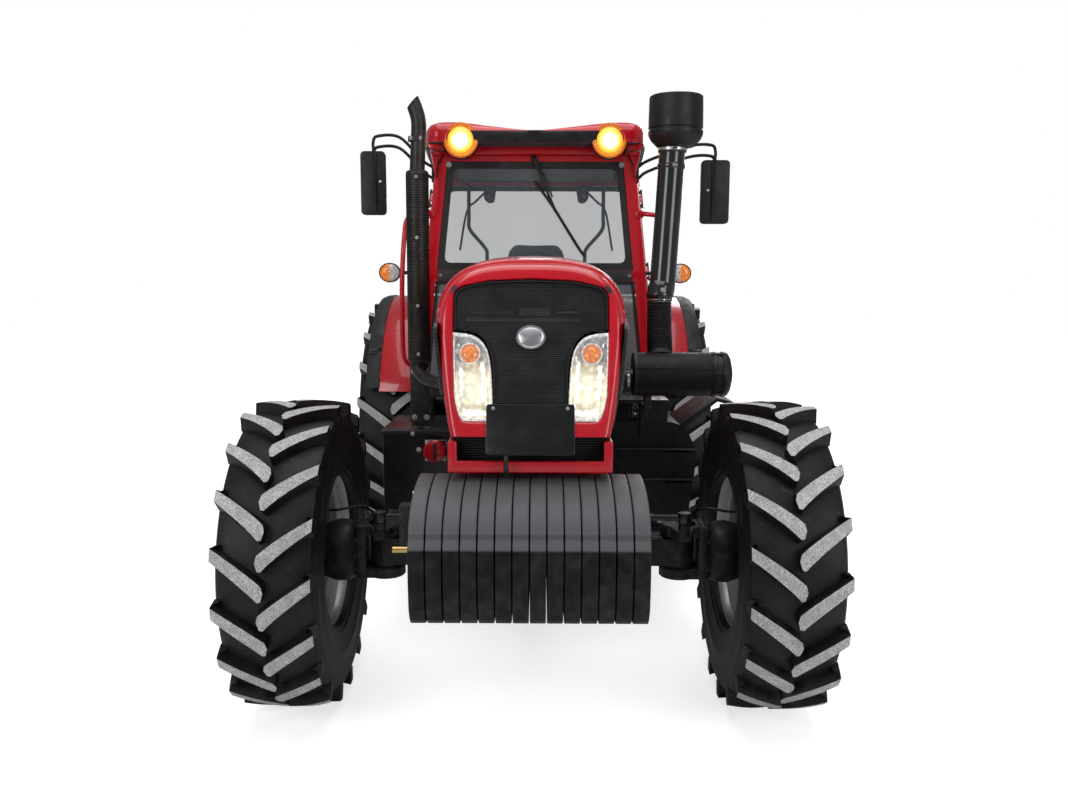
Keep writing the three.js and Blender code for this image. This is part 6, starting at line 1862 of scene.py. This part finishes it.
def lift_rod(word, side):
    bm = bmesh.new()
    sweep(bm, [(side * 284, 3069.8, 1052.4), (side * 284, 3251.3, 386.8)], 13, 20, 30, ridge=lambda n: 1.75
          if 9 < n < 21 else 1 + 0.06 * (n % 2))
    for y, z, r, x0, x1 in ((3069.8, 1052.4, 30, 263, 300), (3251.3, 386.8, 28, 268, 308)):
        lathe(bm, "x", (0, y, z), [(0, side * x0), (r - 3, side * x0), (r, side * (x0 + 3)), (r, side * (x1 - 3)),
                                   (r - 3, side * x1), (0, side * x1)], 28)
        lathe(bm, "x", (0, y, z), [(0, side * (x1 + 6)), (12, side * (x1 + 5)), (13, side * x1),
                                   (0, side * (x1 - 1))], 6, index=1)
    return piece(f"lift_link_{word}", bm, [BLACK, STEEL], node_body[f"lift_rod_{word}"], 35, (f"lift_rod_{word}",))


def lower_link(word, side):
    body = node_body[f"lower_link_{word}"]
    softened(f"lower_link_{word}", BLACK, 4, 2)
    bm = bmesh.new()
    lathe(bm, "x", (0, 3544.7, 324.5), [(14, side * 376), (22, side * 378), (27, side * 388), (29, side * 400),
                                        (27, side * 412), (22, side * 422), (14, side * 424)], 32)
    return piece(f"link_ball_{word}", bm, STEEL, body)


for maker in (lift_rod, lower_link):
    print([made.name for made in mirrored_pair(maker)])

# %% [markdown]
# ## Cab interior
# Behind the glass the cab needs its lining, dashboard, levers, pedals, grab bars and the hinge
# tabs and gas struts of the rear window, or it looks empty. All are bent tube or small mouldings
# in the same grey, swept and extruded, with the steering wheel rim as one closed ring.

# %% Interior
LINING = finish_of("roof_lining", (0.032, 0.033, 0.036), 0.85, drift=0.2, patch=10.0, grain=1200.0, bump=0.0005,
                   specular=0.2)
MAT = finish_of("floor_mat", (0.012, 0.012, 0.012), 0.8, drift=0.2, grain=500.0, bump=0.0006, dust=0.3,
                dust_top=1.6,
                specular=0.25)
softened("cab_interior", CAB_GREY, 8, 3)
cabin = bmesh.new()
slab(cabin, "z", rounded([(-490, 1570), (490, 1570), (540, 2840), (-540, 2840)], 60), 2536, 2550, 5, index=1)
slab(cabin, "z", rounded([(-480, 1570), (480, 1570), (480, 2240), (-480, 2240)], 30), 1181, 1189, 3, index=2)
slab(cabin, "x", rounded([(1562, 1840), (1575, 1905), (1700, 1915), (1792, 1880), (1792, 1862), (1562, 1830)], 12),
     -158, 158, 8)
slab(cabin, "y", rounded([(-600, 1310), (600, 1310), (600, 1735), (-600, 1735)], 30), 2908, 2914, 2, index=3)
for side in (-1, 1):
    slab(cabin, "y", rounded([(side * 282, 2512), (side * 378, 2512), (side * 374, 2412), (side * 338, 2384),
                              (side * 300, 2392)], 20), 2852, 2866, 4)
    sweep(cabin, [(side * 356, 2846, 2470), (side * 430, 2840, 2400), (side * 496, 2836, 2326),
                  (side * 548, 2838, 2052)], 8, 12, 6, index=3)
    sweep(cabin, [(side * 470, 2690, 2520), (side * 470, 2690, 2290), (side * 462, 2690, 2190),
                  (side * 356, 2690, 2062), (side * 344, 2692, 1990), (side * 344, 2700, 1800)], 13, 14, 8)
    sweep(cabin, [(side * 268, 2600, 1790), (side * 274, 2500, 1802), (side * 276, 2380, 1796),
                  (side * 270, 2330, 1776)], 28, 16, 6)
    lathe(cabin, "y", (side * 340, 0, 2440), [(0, 2844), (12, 2845), (14, 2848), (14, 2854)], 16, index=4)
    slab(cabin, "x", rounded([(2240, 1430), (2800, 1430), (2800, 1700), (2420, 1640), (2240, 1560)], 40),
         *sorted((side * 400, side * 560)), 14)
for x, y, z, lean in ((330, 2330, 1690, 30), (372, 2360, 1700, 20), (430, 2400, 1716, 10)):
    sweep(cabin, [(x, y, 1560), (x - 4, y - lean * 0.4, z - 70), (x - 6, y - lean, z)], 7, 10, 4, index=4)
    lathe(cabin, "z", (x - 6, y - lean, 0), [(0, z + 42), (14, z + 40), (20, z + 28), (17, z + 8), (10, z - 4),
            (0, z - 6)], 20, index=3)
for x, wide in ((-150, 34), (96, 30), (170, 30)):
    sweep(cabin, [(x, 1536, 1420), (x, 1580, 1330), (x, 1640, 1262)], 9, 10, 4, index=3)
    slab(cabin, "x", [(1628, 1246), (1672, 1292), (1664, 1300), (1620, 1254)], x - wide, x + wide, 3, index=2)
cabin_parts = [as_mesh(cabin, CAB_GREY, LINING, MAT, BLACK, STEEL)]
rib = bmesh.new()
block(rib, -440, 440, AT_ORIGIN[1] - 3, AT_ORIGIN[1] + 3, 0, 3, 1)
cabin_parts.append(grid_of(rib, MAT, 40, (0, 1600, 1189), (0, 16, 0)))
joined("cabin_fittings", cabin_parts, "root", 35)

up = Vector((0, 0.8, 0.6))
middle = Vector((0, 1860, 1820)) + up * 50
across = Vector((1, 0, 0))
along = up.cross(across)
rim = bmesh.new()
circle = [tuple(middle + 190 * (math.cos(a) * across + math.sin(a) * along) + up * 8)
          for a in [2 * math.pi * i / 48 for i in range(49)]]
sweep(rim, circle, 14, 16, 1)
for a in (math.pi / 2, math.pi * 7 / 6, math.pi * 11 / 6):
    arm = math.cos(a) * across + math.sin(a) * along
    sweep(rim, [tuple(middle + arm * 20 - up * 4), tuple(middle + arm * 110 - up * 6),
                tuple(middle + arm * 186 + up * 6)], 10, 10, 5)
sweep(rim, [tuple(middle + up * k) for k in (-22, -16, 8, 14)], 42, 32, 1, ridge=lambda n: (0.8, 1, 1, 0.8)[n])
piece("steering_rim", rim, PLASTIC, node_body["steering_wheel"], 40, ("steering_wheel",))
print("steering wheel leans", round(math.degrees(up.angle(Vector((0, 0, 1))))))

# %% [markdown]
# ## Engine bay
# Lifting the hood shows the engine and the radiator. The block keeps its CAD shape; on top go the
# rocker cover, manifolds, turbocharger, injection pipes and hoses. The radiator gets its frame,
# fins, tank, shroud and fan. What comes in rows is placed by the grid tree.

# %% Engine bay
PIPE_HOT = finish_of("cast_manifold", (0.05, 0.032, 0.024), 0.72, drift=0.4, patch=12.0, grain=220.0, bump=0.0008,
                     dust=0.2)
FIN = finish_of("radiator_fin", (0.03, 0.031, 0.033), 0.5, metal=0.4, drift=0.2, grain=300.0, bump=0.0002, dust=0.4)


def engine_top():
    """Rocker cover, manifolds, turbocharger and pipes, all above the block and under the hood."""
    bm = bmesh.new()
    slab(bm, "z", rounded([(-78, 196), (78, 196), (78, 806), (-78, 806)], 26), 1398, 1476, 12)
    slab(bm, "z", rounded([(-92, 182), (92, 182), (92, 820), (-92, 820)], 20), 1396, 1412, 3)
    slab(bm, "z", rounded([(118, 200), (196, 200), (196, 800), (118, 800)], 18), 1410, 1474, 16)
    lathe(bm, "y", (-168, 0, 1452), [(0, 196), (34, 198), (40, 206), (40, 794), (34, 802), (0, 804)], 28, index=1)
    lathe(bm, "z", (40, 300, 0), [(24, 1474), (24, 1486), (34, 1490), (34, 1508), (28, 1514), (0, 1514)], 24,
          index=2)
    lathe(bm, "x", (0, 520, 1530), [(22, -236), (46, -230), (74, -214), (80, -196), (74, -178), (44, -166)], 36,
          index=1)
    lathe(bm, "x", (0, 520, 1530), [(44, -166), (40, -140), (70, -126), (78, -108), (70, -90), (30, -80), (26, -52),
                                    (0, -52)], 36)
    sweep(bm, [(-168, 520, 1480), (-196, 520, 1500), (-196, 520, 1530)], 30, 20, 8, index=1)
    sweep(bm, [(-60, 520, 1530), (20, 500, 1545), (110, 440, 1530), (156, 330, 1500), (156, 250, 1470)], 32, 24, 12,
          index=2,
          ridge=lambda n: 1.06 if n % 12 < 2 else 1)
    for x, start in ((150, 1640), (-150, 1560)):
        sweep(bm, [(x, -424, start), (x, -340, start), (x * 0.9, -120, 1520), (x * 0.7, 90, 1450),
                   (x * 0.6, 210, 1440)], 30, 22, 12,
              index=2, ridge=lambda n: 1.07 if n % 16 < 2 else 1)
    meshes = [as_mesh(bm, CHASSIS, PIPE_HOT, RUBBER_TRIM)]
    rib = bmesh.new()
    slab(rib, "z", [(-66, -4), (66, -4), (66, 4), (-66, 4)], 0, 7, 2)
    meshes.append(grid_of(about_origin(rib), CHASSIS, 14, (0, 232, 1474), (0, 41, 0)))
    for x, paint, radius in ((-122, PIPE_HOT, 26), (112, CHASSIS, 24)):
        port = bmesh.new()
        sign = 1 if x > 0 else -1
        block(port, -34, 34, -radius, radius, -32, 10, 9)
        meshes.append(grid_of(about_origin(port), paint, 6, (x, 246, 1436), (0, 101, 0)))
        meshes.append(grid_of(bolt_shape(8, 8, "z"), STEEL, 6, (x - sign * 14, 222, 1446), (0, 101, 0)))
        meshes.append(grid_of(bolt_shape(8, 8, "z"), STEEL, 6, (x - sign * 14, 270, 1446), (0, 101, 0)))
    meshes += [grid_of(bolt_shape(9, 9, "z"), STEEL, 7, (x, 196, 1411), (0, 101, 0)) for x in (-85, 85)]
    lines = bmesh.new()
    for i in range(6):
        y = 250 + 98 * i
        sweep(lines, [(92, y, 1414), (102, y, 1500), (140, y - 12, 1512), (206, y - 24, 1480), (214, y - 30, 1404)],
              4, 8, 6)
    meshes.append(as_mesh(lines, STEEL))
    return joined("engine_top", meshes, "root", 35)


def cooling_pack():
    """Frame, fins, tank, cap, shroud and fan of the radiator, which the lifted hood shows."""
    bm = bmesh.new()
    slab(bm, "y", rounded([(-240, 1040), (240, 1040), (240, 1716), (-240, 1716)], 10), -428, -416, 3)
    for x0, x1, z0, z1 in ((-240, -214, 1040, 1716), (214, 240, 1040, 1716), (-214, 214, 1664, 1716),
                           (-214, 214, 1040, 1070)):
        block(bm, x0, x1, -574, -556, z0, z1, 3)
    block(bm, -212, 212, -556, -424, 1698, 1752, 14)
    lathe(bm, "z", (-120, -490, 0), [(22, 1748), (22, 1760), (32, 1762), (32, 1774), (26, 1780), (0, 1780)], 24,
          index=1)
    lathe(bm, "y", (0, 0, 1400), [(206, -420), (206, -330), (212, -322), (218, -326), (216, -422)], 60)
    meshes = [as_mesh(bm, CHASSIS, STEEL)]
    fin = bmesh.new()
    block(fin, -1.2, 1.2, -3, 3, -296, 296, 0.4)
    meshes.append(grid_of(about_origin(fin), FIN, 70, (-207, -562, 1367), (6, 0, 0)))
    tube = bmesh.new()
    block(tube, -213, 213, -2, 3, -2.5, 2.5, 1)
    meshes.append(grid_of(about_origin(tube), FIN, 32, (0, -562, 1084), (0, 0, 18.2)))
    blade = bmesh.new()
    root, tip = [(-30, 46, 10), (26, 50, -14)], [(-58, 192, 16), (40, 190, -22)]
    corners = [[blade.verts.new(Vector((x, y + lift, z)) * MM) for x, z, y in (root[0], tip[0], tip[1], root[1])]
               for lift in (-2, 2)]
    blade.faces.new(corners[0][::-1])
    blade.faces.new(corners[1])
    bridge(blade, corners)
    bmesh.ops.recalc_face_normals(blade, faces=blade.faces)
    meshes.append(ring_of(blade, PLASTIC, 9, (0, -366, 1400), (0, 1, 0)))
    hub = bmesh.new()
    lathe(hub, "y", (0, 0, 1400), [(0, -392), (40, -390), (62, -382), (66, -346), (40, -338), (24, -330), (24, 60),
                                   (0, 60)], 40)
    lathe(hub, "y", (0, 0, 1400), [(0, 56), (70, 58), (76, 66), (70, 76), (76, 86), (70, 96), (40, 102), (30, 200),
                                   (0, 200)], 40)
    meshes.append(as_mesh(hub, CHASSIS))
    return joined("cooling_pack", meshes, "root", 35)


engine_top()
cooling_pack()
print("engine bay done")

# %% [markdown]
# ## Seat
# The seat is two foam pads in a woven cover. Foam fills its cover like a balloon, so each pad
# starts as a slightly small form, is remeshed to even quads and is blown up by a short cloth
# simulation with pressure and no gravity. Sewn channels are pressed in afterwards, because a
# remesh would erase them.

# %% Woven cover
FABRIC, fabric_tree, fabric_shader = shader_of("seat_fabric")
threads = []
for direction in ("X", "Y", "Z"):
    wave = add_node(fabric_tree, "ShaderNodeTexWave", {
        "Scale": 110.0, "Distortion": 1.2, "Vector": object_place(fabric_tree)}, bands_direction=direction)
    threads.append(wave.outputs["Fac"])
weave = maths(fabric_tree, "MULTIPLY", maths(fabric_tree, "ADD", maths(fabric_tree, "ADD", threads[0], threads[1]),
        threads[2]), 0.33)
patchy = maths(fabric_tree, "ADD", maths(fabric_tree, "MULTIPLY", weave, 0.5),
               maths(fabric_tree, "MULTIPLY", noise(fabric_tree, 9.0, 5.0), 0.5))
wire(fabric_tree, blend_colour(fabric_tree, ramp(fabric_tree, patchy, 0.3, 0.7), (0.045, 0.047, 0.052, 1),
                               (0.11, 0.113, 0.12, 1)), fabric_shader.inputs["Base Color"])
wire(fabric_tree, ramp(fabric_tree, noise(fabric_tree, 30.0, 4.0), 0.3, 0.7, 0.78, 0.95),
     fabric_shader.inputs["Roughness"])
fabric_shader.inputs["Sheen Weight"].default_value = 0.25
relief(fabric_tree, fabric_shader, weave, 0.0009, 0.7)

# %% Inflated pads
PRESSURE, LAST_FRAME = 4.0, 20


def inflated(mesh, cap):
    """The mesh after a short cloth simulation with pressure; no point moves more than cap.
    """
    holder = bpy.data.objects.new("pad", mesh)
    bpy.context.scene.collection.objects.link(holder)
    cloth = holder.modifiers.new("cloth", "CLOTH")
    cloth.settings.use_pressure = True
    cloth.settings.uniform_pressure_force = PRESSURE
    cloth.settings.effector_weights.gravity = 0.0
    cloth.settings.quality = 5
    cloth.point_cache.frame_end = LAST_FRAME
    for step_frame in range(1, LAST_FRAME + 1):
        bpy.context.scene.frame_set(step_frame)
    blown = bpy.data.meshes.new_from_object(holder.evaluated_get(bpy.context.evaluated_depsgraph_get()))
    moved = [(a.co.copy(), b.co - a.co) for a, b in zip(mesh.vertices, blown.vertices)]
    bpy.data.objects.remove(holder)
    bpy.context.scene.frame_set(1)
    for vert, (start, move) in zip(blown.vertices, moved):
        vert.co = start + move * min(1.0, cap / max(move.length, 1e-9))
    return blown


def pad(name, rings, cap, shape):
    """A padded piece lofted from rings, blown up, then shaped by shape(x, y, z) in millimetres."""
    bm = bmesh.new()
    loops = [[bm.verts.new(spot(*p)) for p in ring] for ring in rings]
    bm.faces.new(loops[0][::-1])
    bm.faces.new(loops[-1])
    bridge(bm, loops)
    bmesh.ops.recalc_face_normals(bm, faces=bm.faces)
    mesh = inflated(applied(as_mesh(bm), ("REMESH", dict(mode="VOXEL", voxel_size=0.006))), cap)
    for vert in mesh.vertices:
        x, y, z = vert.co.x / MM, (vert.co.y - FRONT_AXLE_Y) / MM, vert.co.z / MM
        vert.co = spot(*shape(x, y, z))
    mesh.materials.clear()
    made = piece(name, applied(mesh, ("SUBSURF", dict(levels=1, render_levels=1))), FABRIC, "root", 0)
    for polygon in made.data.polygons:
        polygon.use_smooth = True
    return made


def dent(distance, depth, width):
    return depth * math.exp(-(distance / width) ** 2)


def cushion_shape(x, y, z):
    top = max(0.0, min(1.0, (z - 1650) / 40))
    crown = 12 * (1 - (x / 250) ** 2) * (1 - ((y - 2485) / 250) ** 2)
    channels = dent(abs(x) - 118, 9, 7) + sum(dent(y - c, 6, 7) for c in (2360, 2460, 2560) if abs(x) < 118)
    welt = dent(z - 1668, 5, 5) * (1 if abs(x) > 205 or y < 2285 or y > 2690 else 0)
    pull = 1 - 0.03 * (1 - ((z - 1655) / 60) ** 2) * (1 - min(1, abs(y - 2485) / 235) ** 2)
    return x * pull * (1 - welt / 240), y, z + top * (crown - channels) - (1 - top) * 0


def back_shape(x, y, z):
    front = y < 2640 + (z - 1712) * 0.2
    crown = 10 * (1 - (x / 240) ** 2) * (1 - ((z - 1900) / 215) ** 2)
    channels = dent(abs(x) - 112, 8, 7) + sum(dent(z - c, 6, 7) for c in (1800, 1890, 1980) if abs(x) < 112)
    wing = 16 * max(0.0, (abs(x) - 120) / 110) ** 2 if z < 2040 else 0
    return x, y - (crown - channels + wing if front else -crown * 0.5), z


def rounded_ring(half, y0, y1, z):
    shape = rounded([(-half, y0), (half, y0), (half, y1), (-half, y1)], 46, 4)
    return [(x, y, z) for x, y in shape]


cushion = pad("seat_cushion", [rounded_ring(h, 2485 - d, 2485 + d, z) for h, d, z in (
    (212, 206, 1604), (226, 222, 1616), (230, 226, 1645), (230, 226, 1668), (222, 218, 1684), (196, 194, 1692))],
    0.012, cushion_shape)
backrest = pad("seat_backrest", [rounded_ring(h, 2586 + (z - 1712) * 0.2 + g, 2586 + (z - 1712) * 0.2 + 98 - g, z)
                                 for h, g, z in (
    (196, 18, 1706), (216, 4, 1722), (226, 0, 1780), (220, 0, 1900), (210, 0, 1990), (192, 4, 2050),
    (166, 14, 2082),
    (140, 30, 2094))], 0.012, back_shape)
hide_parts("seat")
print("pads", len(cushion.data.vertices), len(backrest.data.vertices))

# %% Seat frame and piping
seat_frame = bmesh.new()
block(seat_frame, -168, 168, 2342, 2698, 1450, 1478, 6)
for side in (-1, 1):
    for lean in (-1, 1):
        sweep(seat_frame, [(side * 128, 2520 - lean * 120, 1480), (side * 128, 2520 + lean * 120, 1572)], 10, 10, 2)
    block(seat_frame, side * 150 - 10, side * 150 + 10, 2330, 2710, 1570, 1602, 3)
for k in range(6):
    z = 1486 + 14 * k
    slab(seat_frame, "z", rounded([(-112, 2420), (112, 2420), (112, 2620), (-112, 2620)], 20), z, z + 10, 4,
         index=1)
slab(seat_frame, "z", rounded([(-200, 2300), (200, 2300), (200, 2700), (-200, 2700)], 30), 1592, 1604, 3)
slab(seat_frame, "y", rounded([(-150, 1640), (150, 1640), (130, 1960), (-130, 1960)], 30), 2716, 2726, 4)
piece("seat_frame", seat_frame, [BLACK, RUBBER_TRIM], "root")
